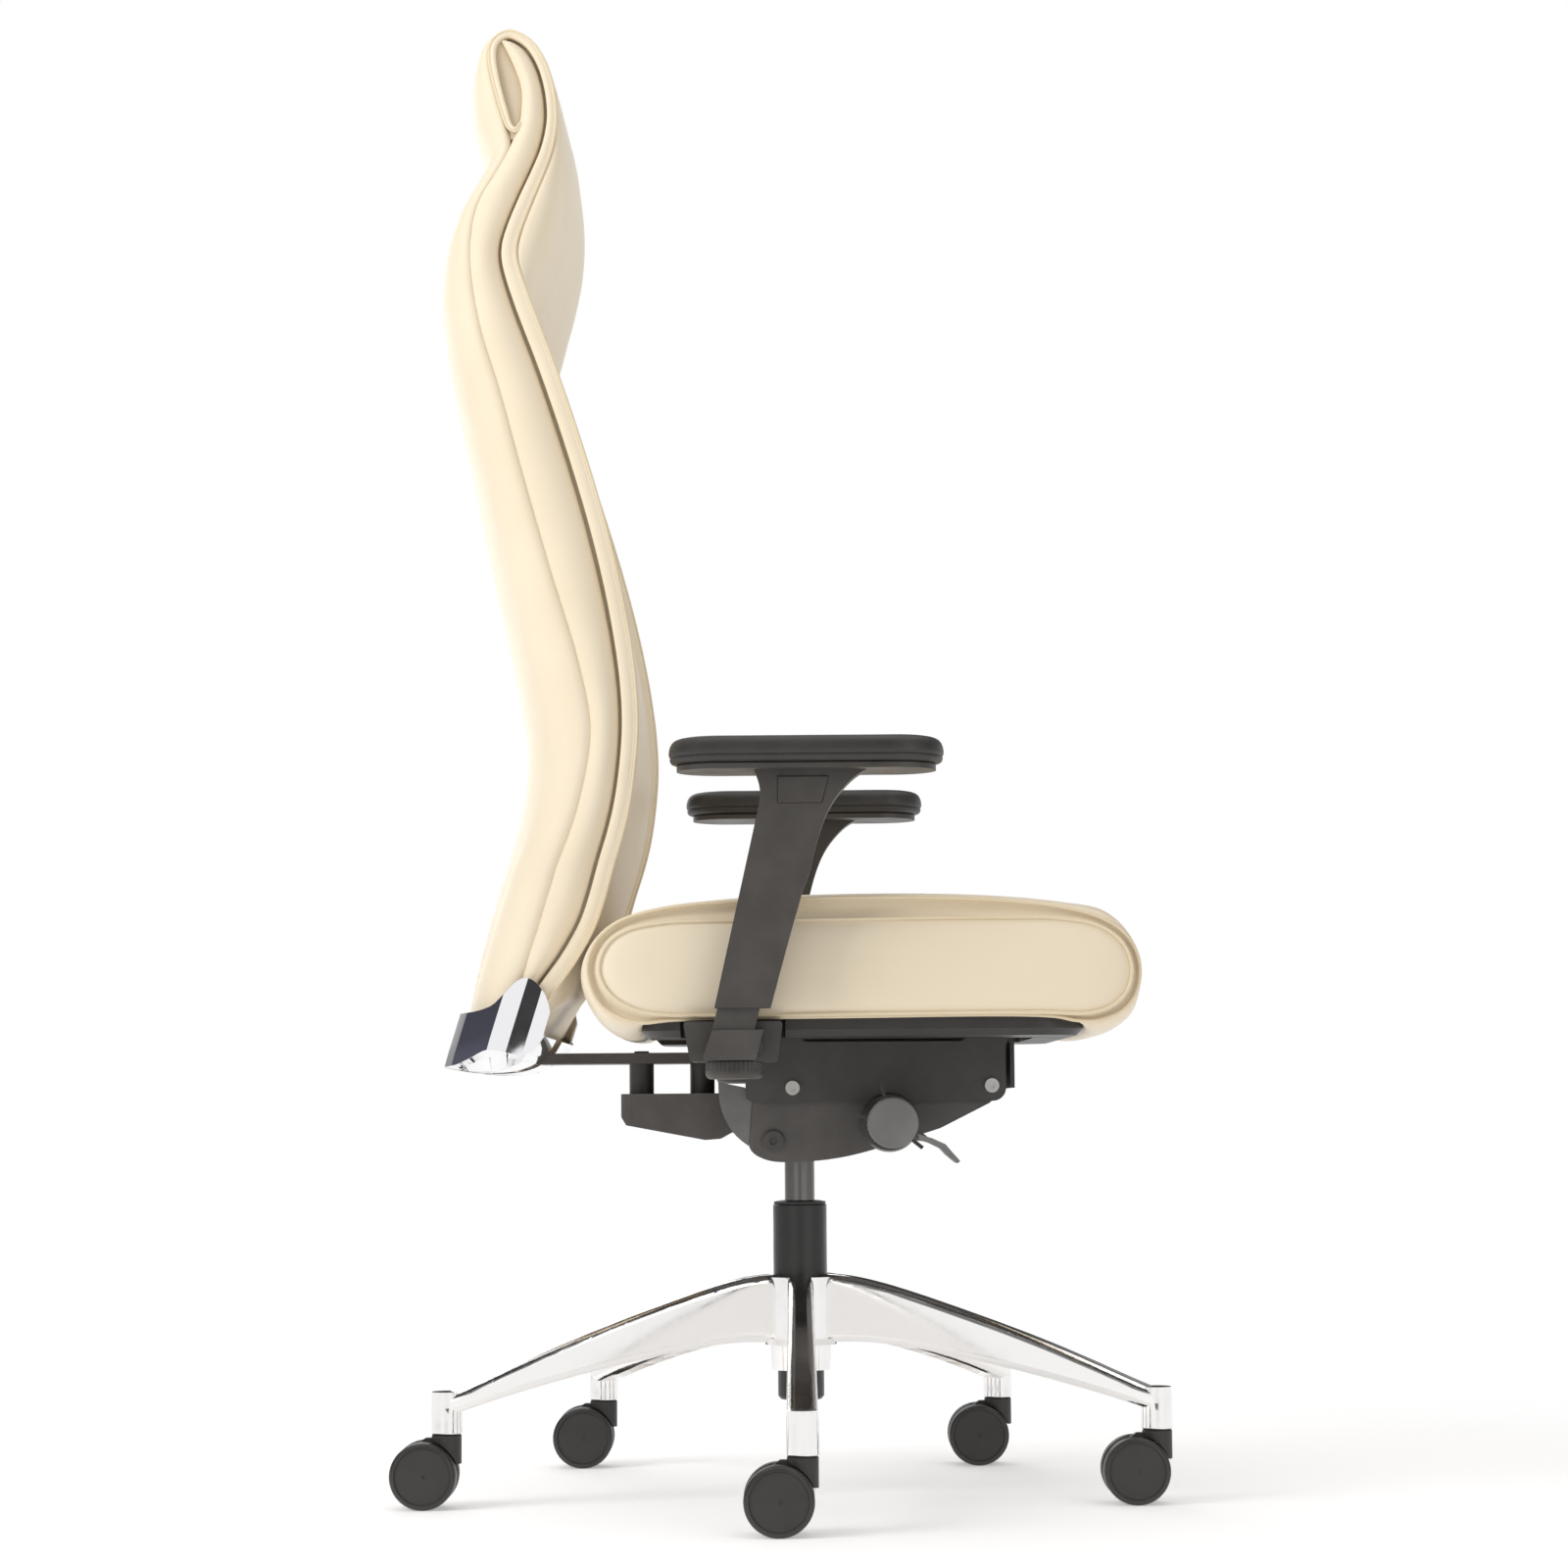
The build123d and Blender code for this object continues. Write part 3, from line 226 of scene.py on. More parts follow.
def tube(name, path, radius, material, closed=False, sides=10):
    """A round tube of a radius in millimetres along a path of points in metres."""
    path = np.asarray(path)
    along = np.roll(path, -1, 0) - np.roll(path, 1, 0) if closed else np.gradient(path, axis=0)
    along /= np.linalg.norm(along, axis=1)[:, None]
    across = np.cross(along, (1.0, 0, 0))
    across /= np.linalg.norm(across, axis=1)[:, None]
    other = np.cross(along, across)
    turn = np.linspace(0, 2 * math.pi, sides, endpoint=False)
    ring = across[:, None] * np.cos(turn)[:, None] + other[:, None] * np.sin(turn)[:, None]
    rings = path[:, None] + ring * radius * MM
    return loft(name, rings, material, levels=0, closed=closed)


CLOTH_FRAMES = 20


def inflate(piece, pins, pressure, cap):
    """Cloth simulation of the leather between its pinned seams; no point moves more than cap millimetres."""
    group = piece.vertex_groups.new(name="seams")
    for index, weight in enumerate(pins):
        if weight > 0:
            group.add([index], float(weight), "REPLACE")
    cloth = piece.modifiers.new("leather", "CLOTH")
    settings = cloth.settings
    settings.quality = 5
    settings.mass = 0.5
    settings.tension_stiffness = 25
    settings.compression_stiffness = 25
    settings.shear_stiffness = 12
    settings.bending_stiffness = 2.0
    settings.vertex_group_mass = "seams"
    settings.use_pressure = True
    settings.uniform_pressure_force = pressure
    settings.effector_weights.gravity = 0
    cloth.collision_settings.use_collision = False
    cloth.point_cache.frame_end = CLOTH_FRAMES
    rest = np.array([v.co for v in piece.data.vertices], float)
    for frame_number in range(1, CLOTH_FRAMES + 1):
        bpy.context.scene.frame_set(frame_number)
    graph = bpy.context.evaluated_depsgraph_get()
    shaped = piece.evaluated_get(graph).to_mesh()
    moved = np.array([v.co for v in shaped.vertices], float) - rest
    piece.modifiers.remove(cloth)
    length = np.maximum(np.linalg.norm(moved, axis=1), 1e-9)
    moved *= np.minimum(1, cap * MM / length)[:, None]
    piece.data.vertices.foreach_set("co", (rest + moved).astype(np.float32).ravel())
    piece.vertex_groups.remove(group)
    bpy.context.scene.frame_set(1)


# ---------------------------------------------------------------- materials
def new_material(name):
    material = bpy.data.materials.new(name)
    material.use_nodes = True
    nodes = material.node_tree.nodes
    return material, nodes, material.node_tree.links, nodes["Principled BSDF"]


def coordinates(nodes, links, scale=(1, 1, 1)):
    source = nodes.new("ShaderNodeTexCoord")
    mapping = nodes.new("ShaderNodeMapping")
    mapping.inputs["Scale"].default_value = scale
    links.new(source.outputs["Object"], mapping.inputs["Vector"])
    return mapping.outputs["Vector"]


def noise(nodes, links, vector, scale, detail=3.0, roughness=0.5):
    node = nodes.new("ShaderNodeTexNoise")
    node.inputs["Scale"].default_value = scale
    node.inputs["Detail"].default_value = detail
    node.inputs["Roughness"].default_value = roughness
    links.new(vector, node.inputs["Vector"])
    return node.outputs["Fac"]


def grey(value):
    return (value, value, value)


def rgba(value):
    """An opaque colour from three components or one grey level."""
    return (*(value if hasattr(value, "__len__") else grey(value)), 1)


def ramp(nodes, links, value, low, high, start=0.3, end=0.7):
    """A colour or grey ramp between two values."""
    node = nodes.new("ShaderNodeValToRGB")
    node.color_ramp.elements[0].position = start
    node.color_ramp.elements[1].position = end
    node.color_ramp.elements[0].color = rgba(low)
    node.color_ramp.elements[1].color = rgba(high)
    links.new(value, node.inputs["Fac"])
    return node.outputs["Color"]


def bump(nodes, links, height, strength, distance, normal=None):
    node = nodes.new("ShaderNodeBump")
    node.inputs["Strength"].default_value = strength
    node.inputs["Distance"].default_value = distance
    links.new(height, node.inputs["Height"])
    if normal is not None:
        links.new(normal, node.inputs["Normal"])
    return node.outputs["Normal"]


def leather(name, light, dark):
    """Smooth upholstery leather: fine pebble grain, faint pores and broad variation of colour."""
    material, nodes, links, shader = new_material(name)
    vector = coordinates(nodes, links)
    colour = ramp(nodes, links, noise(nodes, links, vector, 9.0, 5.0), dark, light, 0.25, 0.7)
    links.new(colour, shader.inputs["Base Color"])
    grain = nodes.new("ShaderNodeTexVoronoi")
    grain.feature = "SMOOTH_F1"
    grain.inputs["Scale"].default_value = 620
    grain.inputs["Smoothness"].default_value = 0.4
    links.new(vector, grain.inputs["Vector"])
    creases = noise(nodes, links, vector, 120, 4.0, 0.6)
    fine = bump(nodes, links, grain.outputs["Distance"], 0.08, 0.0003)
    links.new(bump(nodes, links, creases, 0.07, 0.0006, fine), shader.inputs["Normal"])
    links.new(ramp(nodes, links, creases, 0.40, 0.52), shader.inputs["Roughness"])
    shader.inputs["Specular IOR Level"].default_value = 0.42
    shader.inputs["Sheen Weight"].default_value = 0.12
    shader.inputs["Sheen Roughness"].default_value = 0.45
    return material


def metal(name, colour, rough_low, rough_high, scale=(1, 1, 1), strength=0.05):
    """Bare or plated metal, with a faint texture drawn out along the axis of the smallest scale."""
    material, nodes, links, shader = new_material(name)
    vector = coordinates(nodes, links, scale)
    drawn = noise(nodes, links, vector, 60, 4.0, 0.6)
    links.new(ramp(nodes, links, drawn, rough_low, rough_high), shader.inputs["Roughness"])
    links.new(bump(nodes, links, drawn, strength, 0.0005), shader.inputs["Normal"])
    shader.inputs["Base Color"].default_value = (*colour, 1)
    shader.inputs["Metallic"].default_value = 1.0
    return material


def plastic(name, colour, rough_low, rough_high, grain=900, strength=0.15):
    """Moulded or powder-coated surface: a fine spark-eroded grain and slight mottling."""
    material, nodes, links, shader = new_material(name)
    vector = coordinates(nodes, links)
    mottling = noise(nodes, links, vector, 35, 4.0)
    low = tuple(c * 0.86 for c in colour)
    high = tuple(min(1.0, c * 1.14) for c in colour)
    links.new(ramp(nodes, links, mottling, low, high), shader.inputs["Base Color"])
    links.new(ramp(nodes, links, mottling, rough_low, rough_high), shader.inputs["Roughness"])
    fine = noise(nodes, links, vector, grain, 2.0, 0.7)
    links.new(bump(nodes, links, fine, strength, 0.0003), shader.inputs["Normal"])
    return material


def plywood(name):
    """Pressed beech plies, seen on edges."""
    material, nodes, links, shader = new_material(name)
    vector = coordinates(nodes, links, (6, 6, 500))
    plies = noise(nodes, links, vector, 2.0, 4.0)
    links.new(ramp(nodes, links, plies, (0.30, 0.17, 0.08), (0.62, 0.42, 0.24)), shader.inputs["Base Color"])
    links.new(bump(nodes, links, plies, 0.1, 0.0004), shader.inputs["Normal"])
    shader.inputs["Roughness"].default_value = 0.6
    return material


IVORY = (0.83, 0.725, 0.555)
IVORY_SHADE = (0.79, 0.68, 0.505)
MATERIALS = {
    "leather_cream": leather("leather_cream", IVORY, IVORY_SHADE),
    # The piping's leather is darker and tanner than the cover: painted shade of the seam grooves along it.
    "piping": leather("leather_piping_painted_shade", (0.78, 0.66, 0.47), (0.72, 0.60, 0.41)),
    # The end panel's leather is darker than the cover: painted shade of its recess behind the bolster.
    "end_panel": leather("leather_end_panel_painted_shade", (0.66, 0.56, 0.41), (0.60, 0.50, 0.36)),
    "aluminium_polished": metal("aluminium_polished", (0.90, 0.885, 0.87), 0.07, 0.15, strength=0.012),
    "chrome": metal("chrome", (0.86, 0.86, 0.88), 0.03, 0.07, strength=0.01),
    "steel_zinc": metal("steel_zinc", (0.62, 0.61, 0.58), 0.25, 0.4),
    "cylinder_steel": metal("cylinder_steel", (0.16, 0.155, 0.15), 0.16, 0.26, (30, 30, 1), 0.02),
    "column_black": plastic("column_black", (0.022, 0.021, 0.02), 0.28, 0.4, 700, 0.05),
    "steel_dark": plastic("steel_dark", (0.062, 0.056, 0.051), 0.36, 0.48, 800, 0.12),
    "cast_dark": plastic("cast_dark", (0.092, 0.084, 0.078), 0.4, 0.55, 420, 0.25),
    "plastic_dark": plastic("plastic_dark", (0.058, 0.052, 0.047), 0.4, 0.52, 1000, 0.15),
    "plastic_grey": plastic("plastic_grey", (0.16, 0.155, 0.15), 0.42, 0.55, 1000, 0.15),
    "plastic_black": plastic("plastic_black", (0.03, 0.028, 0.026), 0.4, 0.52, 1000, 0.15),
    "wheel_black": plastic("wheel_black", (0.036, 0.034, 0.032), 0.36, 0.5, 900, 0.12),
    "guide_plastic": plastic("guide_plastic", (0.024, 0.023, 0.022), 0.35, 0.5),
    "plywood": plywood("plywood"),
    "shell_plastic": plastic("shell_plastic", (0.05, 0.047, 0.044), 0.45, 0.6),
    "pad_soft": plastic("pad_soft", (0.034, 0.032, 0.030), 0.42, 0.56, 520, 0.3),
}


def finish_cad_nodes():
    """Every carried-over CAD node gets the finish of its slot in the record."""
    for subpart in frame["record"]["subparts"]:
        node = NODES[subpart["node"]]
        node.data.materials.clear()
        node.data.materials.append(MATERIALS[subpart["material_slot"]])


# ---------------------------------------------------------------- back
BACK_ROWS = 150
FACE_COLUMNS = 26              # points from the middle to the edge of the front or rear face
WALL_DEPTH = 14.0              # how far the side groove goes in
WALL_COLUMNS = 5
FRONT_POWER = 4.0              # superellipse powers of the front and rear faces in plan
REAR_POWER = 2.5
CREASE_UP = 1082.0             # height of the sewn crease under the head cushion
CREASE_DEPTH = 7.0
CREASE_SPREAD = 9.0


def cover_halves():
    """The cover's front and rear lines, both from the foot to the top: rows of middle and edge points."""
    dense = smooth(COVER_LINE)
    top = TOP_KEY * CURVE_STEPS
    front = even(dense[:top + 1], BACK_ROWS, by=[0, 1])
    rear = even(dense[top:], BACK_ROWS, by=[0, 1])[::-1]
    return front, rear


def face_section(middle, edge, half, power):
    """Half a face in plan: from the middle to the edge, as a superellipse of that power."""
    turn = np.linspace(0, math.pi / 2, 90)
    across = np.sin(turn) ** (2 / power)
    away = 1 - np.cos(turn) ** (2 / power)
    points = np.stack([half * across, *(middle[:, None] + np.outer(edge - middle, away))], axis=1)
    return even(points, FACE_COLUMNS)


def head_crease(up):
    """How far the sewn crease under the head cushion is pulled in at each height."""
    return CREASE_DEPTH * np.exp(-((up - CREASE_UP) / CREASE_SPREAD) ** 2)


def back_rings():
    front, rear = cover_halves()
    rings = []
    for row in range(BACK_ROWS):
        half = table(BACK_HALF, front[row, 3])
        rear_half = table(BACK_HALF, rear[row, 3])
        outer = face_section(front[row, :2], front[row, 2:], half, FRONT_POWER)
        share = np.clip(outer[:, 0] / half * 1.6, 0, 1)
        outer[:, 1] -= head_crease(outer[:, 2]) * (1 - 0.3 * share)
        inner = face_section(rear[row, :2], rear[row, 2:], rear_half, REAR_POWER)
        blend = np.linspace(0, 1, WALL_COLUMNS)[:, None]
        wall = outer[-1] * (1 - blend) + inner[-1] * blend
        wall[:, 0] -= WALL_DEPTH
        right_half = np.vstack([outer, wall, inner[::-1]])
        mirrored = right_half[1:-1][::-1] * (-1, 1, 1)
        rings.append(np.vstack([right_half, mirrored]))
    rings = np.array(rings)
    return place(rings[..., 1], rings[..., 2], rings[..., 0])


SEAM_HOLD = 12.0               # the cloth is held this far in from the side seams, and freed over the fade
SEAM_FADE = 60.0
CREASE_HOLD = 16.0
FOOT_UP = 400.0
FOOT_FADE = 70.0


def cover_pins(cover):
    """How firmly each point of the cover is held: fully at the side seams, the head crease and the foot."""
    pins = []
    for vertex in cover.data.vertices:
        x, _, up = np.array(vertex.co) / MM
        from_edge = table(BACK_HALF, up) - abs(x)
        held = 1.0 - np.clip((from_edge - SEAM_HOLD) / SEAM_FADE, 0, 1)
        crease = np.exp(-((up - CREASE_UP) / CREASE_HOLD) ** 2)
        ends = max(0.0, 1.0 - (up - FOOT_UP) / FOOT_FADE)
        pins.append(min(1.0, max(held, crease, ends)))
    return pins


def make_back_cover():
    rings = back_rings()
    cover = loft("back_leather_cover", rings, MATERIALS["leather_cream"], levels=0)
    inflate(cover, cover_pins(cover), pressure=3.0, cap=5.0)
    subdivide(cover, 1)
    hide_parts("back_cushion", "back_cover", "back_core")
    return cover


def side_strip(name, rows, profile, sign, material):
    """A strip between rows of rear and front edge points; profile is (share across, millimetres out)."""
    rings = []
    for rear_forward, rear_up, front_forward, front_up in rows:
        ring = []
        for share, out in profile:
            forward = rear_forward + (front_forward - rear_forward) * share
            up = rear_up + (front_up - rear_up) * share
            ring.append((sign * (table(BACK_HALF, up) + out), -forward, up))
        rings.append(ring)
    return loft(name, np.array(rings) * MM, material)


BOLSTER_PROFILE = (
    (0.0, -13), (0.0, -5), (0.04, -2.4), (0.14, 0.0), (0.30, 2.2), (0.46, 3.0), (0.62, 2.2),
    (0.76, 0.0), (0.88, -3.2), (0.96, -7), (1.0, -13),
)
PANEL_PROFILE = ((0.0, -12), (0.0, -8), (0.2, -5.4), (0.5, -4.0), (0.8, -5.4), (1.0, -8), (1.0, -12))
WELT_PROFILE = (
    (0.0, -13), (0.0, -1.6), (0.05, -0.2), (0.14, 0.5), (0.20, -0.1), (0.27, 0.7), (0.6, 1.3), (0.86, 0.6),
    (0.97, -0.6), (1.0, -2.5), (1.0, -13),
)
WELT_STEPS = 300
BOLSTER_STEPS = 190
LOOP_END_KEY = 24              # index in COVER_LINE where the welt's hook takes over
WELT_PIPING_RADIUS = 1.7


def welt_line():
    """The welt's outer edge, from near the front foot to the end of the head loop, and its inward normals."""
    edges = smooth(COVER_LINE)[:, 2:]
    stride = CURVE_STEPS // 2
    hooked = np.vstack([edges[CURVE_STEPS:LOOP_END_KEY * CURVE_STEPS:stride], WELT_HOOK])
    line = even(smooth(hooked, steps=stride), WELT_STEPS)
    return line, normals(line)


def welt_widths():
    """Width of the welt at each of its steps."""
    return np.interp(np.linspace(0, 1, WELT_STEPS), *zip(*WELT_WIDTH))


def bolster_rows():
    """Rear and front edges of the bolster: its seam, and a narrow gap behind the welt's inner edge."""
    line, inward = welt_line()
    inner = line + inward * (welt_widths() + WELT_GAP)[:, None]
    seam = smooth(BOLSTER_SEAM)
    tip = np.argmin(np.linalg.norm(inner - seam[-1], axis=1))
    return np.hstack([even(seam, BOLSTER_STEPS), even(inner[:tip + 1], BOLSTER_STEPS)])


def make_welt(side, sign):
    """The flat leather band round the cover's edge, with a piping along its outer side."""
    line, inward = welt_line()
    half = table(BACK_HALF, line[:, 1])
    rings = []
    for point, normal, out in zip(line, inward * welt_widths()[:, None], half):
        rings.append([
            (sign * (out + lift), -(point[0] + normal[0] * share), point[1] + normal[1] * share)
            for share, lift in WELT_PROFILE
        ])
    band = loft(f"back_welt_{side}", np.array(rings) * MM, MATERIALS["leather_cream"])
    edge = line - inward * 0.4
    path = place(edge[:, 0], edge[:, 1], sign * (half - 1.2))
    piping = tube(f"back_piping_{side}", path, WELT_PIPING_RADIUS, MATERIALS["piping"])
    return band, piping


# The chrome bracket's plan at the reference height: (half width, forward), from its front edge to the middle.
BRACKET_PLAN = (
    (211, -223.5), (215, -236.5), (215, -251.5), (210, -269), (192.5, -297), (178, -304), (150, -306.5),
    (110, -308.5), (60, -310), (0, -310.5),
)
BRACKET_HEIGHT = 430.0         # reference height of the plan
BRACKET_LEAN = 0.31            # forward per height, the slope of every facet
# Heights at each forward position of the plan: upper edge, lower edge of the facets, and keel below it.
BRACKET_TOP = (
    (-313, 442.5), (-300, 442.6), (-285, 445.3), (-276, 449.3), (-271, 455.4), (-268, 460.2),
    (-262.5, 468.5), (-257, 472.5), (-251, 472.5), (-244, 469), (-237, 463), (-229, 453), (-223.5, 442),
)
BRACKET_LOW = (
    (-313, 396), (-300, 396.5), (-293, 398), (-282, 403.4), (-269, 410.0), (-251, 407.7), (-239, 405.5),
    (-231, 408), (-226, 415), (-223.5, 424),
)
BRACKET_KEEL = (
    (-313, 394), (-300, 393), (-290, 392.5), (-278, 392.5), (-254, 394), (-240, 398.5), (-231, 405),
    (-226, 413), (-223.5, 422),
)
KEEL_INSET = 15.0
KEEL_TURN = 0.4                # share of the inset where the keel turns up to the facets
KEEL_EASE = 16.0               # run behind the front edge over which the inset grows to its full size
BAR_CLEAR = 42.0               # half width of the opening in its floor for the back bar
FLOOR_END = -288.0             # forward position where the floor meets the rear keel
FLOOR_TAPER = 0.99
BRACKET_WALL = 3.0
BRACKET_EDGE = 0.9             # width of the bevel on every facet's edge
EDGE_ANGLE = 12.0              # degrees between two faces from which their edge is bevelled
COLUMN_GAP = 3.0


def plan_columns():
    """Points about COLUMN_GAP apart along the facets of half the plan, and their inward normals."""
    columns, inward = [], []
    for (x0, w0), (x1, w1) in zip(BRACKET_PLAN, BRACKET_PLAN[1:]):
        run = math.hypot(x1 - x0, w1 - w0)
        count = max(2, round(run / COLUMN_GAP))
        for step in range(count):
            share = step / count
            columns.append((x0 + (x1 - x0) * share, w0 + (w1 - w0) * share))
            inward.append(((w1 - w0) / run, (x0 - x1) / run))
    columns.append(BRACKET_PLAN[-1])
    inward.append((0.0, 1.0))
    return columns, inward


def make_bracket():
    """The chrome wrap at the foot of the back: planar facets that all lean with it, over a rounded keel."""
    columns, inward = plan_columns()
    strips = []
    for (x, w), (across, forward) in zip(columns, inward):
        top, low, keel = (table(edge, w) for edge in (BRACKET_TOP, BRACKET_LOW, BRACKET_KEEL))
        ease = min(1.0, (BRACKET_PLAN[0][1] - w) / KEEL_EASE)
        if w > FLOOR_END:
            strip = [(BAR_CLEAR, w, keel)]
        else:
            strip = [(x * FLOOR_TAPER, FLOOR_END, keel)]
        for inset, height in ((KEEL_INSET, keel), (KEEL_INSET * KEEL_TURN, (low * 2 + keel) / 3)):
            moved = w + forward * inset * ease
            strip.append((x + across * inset * ease, moved, height))
        for share in np.linspace(0, 1, 6):
            strip.append((x, w, low + (top - low) * share))
        strips.append([(x, w + BRACKET_LEAN * (z - BRACKET_HEIGHT), z) for x, w, z in strip])
    half = np.array(strips)
    whole = np.vstack([half, half[-2::-1] * (-1, 1, 1)])
    points = place(whole[..., 1], whole[..., 2], whole[..., 0])
    rows, size = points.shape[:2]
    bracket = new_piece(
        "back_bracket_chrome", points.reshape(-1, 3), grid_faces(rows, size), MATERIALS["chrome"], 0)
    solid = bracket.modifiers.new("wall", "SOLIDIFY")
    solid.thickness = BRACKET_WALL * MM
    solid.offset = 0
    edges = bracket.modifiers.new("edges", "BEVEL")
    edges.width = BRACKET_EDGE * MM
    edges.segments = 2
    edges.limit_method = "ANGLE"
    edges.angle_limit = math.radians(EDGE_ANGLE)
    edges.harden_normals = True
    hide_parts("back_bracket")
    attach(bracket, "back")


def make_back():
    make_bracket()
    cover = make_back_cover()
    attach(cover, "back")
    for side, sign in SIDES:
        bolster = side_strip(
            f"back_bolster_{side}", bolster_rows(), BOLSTER_PROFILE, sign, MATERIALS["leather_cream"])
        panel_rows = even(smooth(END_PANEL_LINE), 24)
        panel = side_strip(f"head_end_panel_{side}", panel_rows, PANEL_PROFILE, sign, MATERIALS["end_panel"])
        band, piping = make_welt(side, sign)
        for piece in (bolster, panel, band, piping):
            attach(piece, "back")


# ---------------------------------------------------------------- seat
SEAT_STEPS = 190
SEAT_COLUMNS = 30
SEAT_POWER = 3.2               # superellipse power of the top pad across the seat
PAD_INSET = 6.0                # how far the pad's edge lies inside the gusset
CHANNEL_DEPTH = 9.0            # of the groove between pad and gusset
PAD_HOLD = 26.0                # the cloth is held this far in from the gusset
CROWN_UP = 470.0               # and below this height, and freed over the fade above it
CROWN_FADE = 40.0


def seat_loops():
    """Gusset seam, pad piping and middle of the seat, as closed loops of matching points."""
    keys = [tuple(a) + tuple(b) + tuple(c) for a, b, c in SEAT_LINE]
    dense = smooth(keys, closed=True)
    rows = even(dense, SEAT_STEPS + 1)[:-1]
    return rows[:, 0:2], rows[:, 2:4], rows[:, 4:6]


def seat_section(gusset, pad, middle):
    """One section of the seat's right half from the middle to the gusset's middle line: (x, forward, up)."""
    turn = np.linspace(0, math.pi / 2, 60)
    across = np.sin(turn) ** (2 / SEAT_POWER) * (SEAT_HALF - PAD_INSET)
    away = 1 - np.cos(turn) ** (2 / SEAT_POWER)
    face = even(np.stack([across, *(middle[:, None] + np.outer(pad - middle, away))], axis=1), SEAT_COLUMNS)
    gap = np.linalg.norm(pad - gusset)
    depth = min(CHANNEL_DEPTH, 0.45 * gap)
    rear_end, front_end, axis_up = GUSSET_AXIS
    centre = np.array([min(max(gusset[0], rear_end), front_end), axis_up])
    rows = list(face)
    channel = (
        (0.2, SEAT_HALF - 7 - depth * 0.8), (0.5, SEAT_HALF - PAD_INSET - depth), (0.85, SEAT_HALF - 4),
    )
    for share, x in channel:
        rows.append((x, *(pad + (gusset - pad) * share)))
    for share, x in ((0.0, -1.6), (0.04, -2.2), (0.1, -0.4), (0.2, 1.2), (0.4, 2.6), (0.7, 3.2), (1.0, 3.4)):
        rows.append((SEAT_HALF + x, *(gusset + (centre - gusset) * share)))
    return np.array(rows)


def seat_pins(cushion):
    """How firmly each point of the seat is held: fully at the seams, the channels and underneath."""
    pins = []
    for vertex in cushion.data.vertices:
        x, _, up = np.abs(np.array(vertex.co) / MM)
        from_seam = SEAT_HALF - PAD_HOLD - x
        on_top = np.clip(from_seam / SEAM_FADE, 0, 1)
        above = np.clip((up - CROWN_UP) / CROWN_FADE, 0, 1)
        pins.append(1.0 - on_top * above)
    return pins


def make_seat():
    gusset, pad, middle = seat_loops()
    sections = []
    for step in range(SEAT_STEPS):
        right = seat_section(gusset[step], pad[step], middle[step])
        sections.append(np.vstack([right[::-1], right[1:] * (-1, 1, 1)]))
    sections = np.array(sections)
    points = place(sections[..., 1], sections[..., 2], -sections[..., 0])
    rows, columns = points.shape[:2]
    faces = grid_faces(rows, columns, close_rows=True)
    cushion = new_piece("seat_leather_cushion", points.reshape(-1, 3), faces, MATERIALS["leather_cream"], 0)
    inflate(cushion, seat_pins(cushion), pressure=4.0, cap=5.0)
    subdivide(cushion, 1)
    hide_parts("seat_cushion")
    pieces = [cushion]
    for side, sign in SIDES:
        for label, loop, x, radius in (("gusset", gusset, 1.0, 1.7), ("pad", pad, 5.6, 1.6)):
            path = place(loop[:, 0], loop[:, 1], sign * (SEAT_HALF - x))
            pieces.append(tube(f"seat_{label}_piping_{side}", path, radius, MATERIALS["piping"], closed=True))
    for piece in pieces:
        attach(piece, "seat")


# ---------------------------------------------------------------- arm pads
PAD_PROFILE = (
    (44.0, 0.3), (30.0, 0.3), (10.0, 0.3), (4.0, 0.8), (1.4, 2.6), (0.8, 5.6), (0.9, 6.4), (2.0, 6.9),
    (0.9, 7.4), (0.1, 8.6), (0.0, 12.0), (0.9, 16.8), (3.4, 21.0), (8.0, 23.4), (16.0, 24.4),
    (30.0, 25.0), (44.0, 25.2),
)


def make_arm_pad(side):
    """A full-ended soft pad: rings of one stadium outline, each inset and raised by the profile."""
    node = f"arm_pad_{side}"
    low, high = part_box(node)
    centre = (low + high) / 2 / MM
    radius = (high.x - low.x) / 2 / MM
    straight = (high.y - low.y) / 2 / MM - radius
    turn = np.linspace(0, 2 * math.pi, 72, endpoint=False)
    rings = []
    for inset, lift in PAD_PROFILE:
        reach = max(radius - inset, 0.02)
        along = np.sin(turn) * reach + np.sign(np.sin(turn)) * straight * min(1, reach / 6)
        height = np.full_like(turn, low.z / MM + lift)
        rings.append(np.stack([centre.x + np.cos(turn) * reach, centre.y + along, height], axis=1))
    pad = loft(f"arm_pad_soft_{side}", np.array(rings) * MM, MATERIALS["pad_soft"])
    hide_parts(node)
    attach(pad, f"arm_top_{side}")


# ---------------------------------------------------------------- studio
DOME_STRENGTH = 0.42
FLOOR_HALF = 30.0
FLOOR_FADE = (0.55, 1.5)        # distance from the column where the floor starts and ends its turn to white
# Camera fitted to the places of the castors, base and column in the photograph.
CAMERA_LENS = 83.01
CAMERA_PLACE = (-3.4064, 0.0081, 0.3528)
CAMERA_PITCH, CAMERA_YAW, CAMERA_ROLL = 5.1913, -0.0621, -0.4345


def make_camera():
    pitch, yaw, roll = (math.radians(a) for a in (CAMERA_PITCH, CAMERA_YAW, CAMERA_ROLL))
    ahead = Vector((math.cos(yaw) * math.cos(pitch), -math.sin(yaw) * math.cos(pitch), math.sin(pitch)))
    level = Vector((-math.sin(yaw), -math.cos(yaw), 0))
    upright = level.cross(ahead)
    right = level * math.cos(roll) + upright * math.sin(roll)
    up = upright * math.cos(roll) - level * math.sin(roll)
    data = bpy.data.cameras.new("camera")
    data.lens = CAMERA_LENS
    data.sensor_width = 36
    camera = bpy.data.objects.new("camera", data)
    bpy.context.scene.collection.objects.link(camera)
    turn = Matrix((right, up, -ahead)).transposed()
    camera.matrix_world = Matrix.Translation(CAMERA_PLACE) @ turn.to_4x4()
    bpy.context.scene.camera = camera


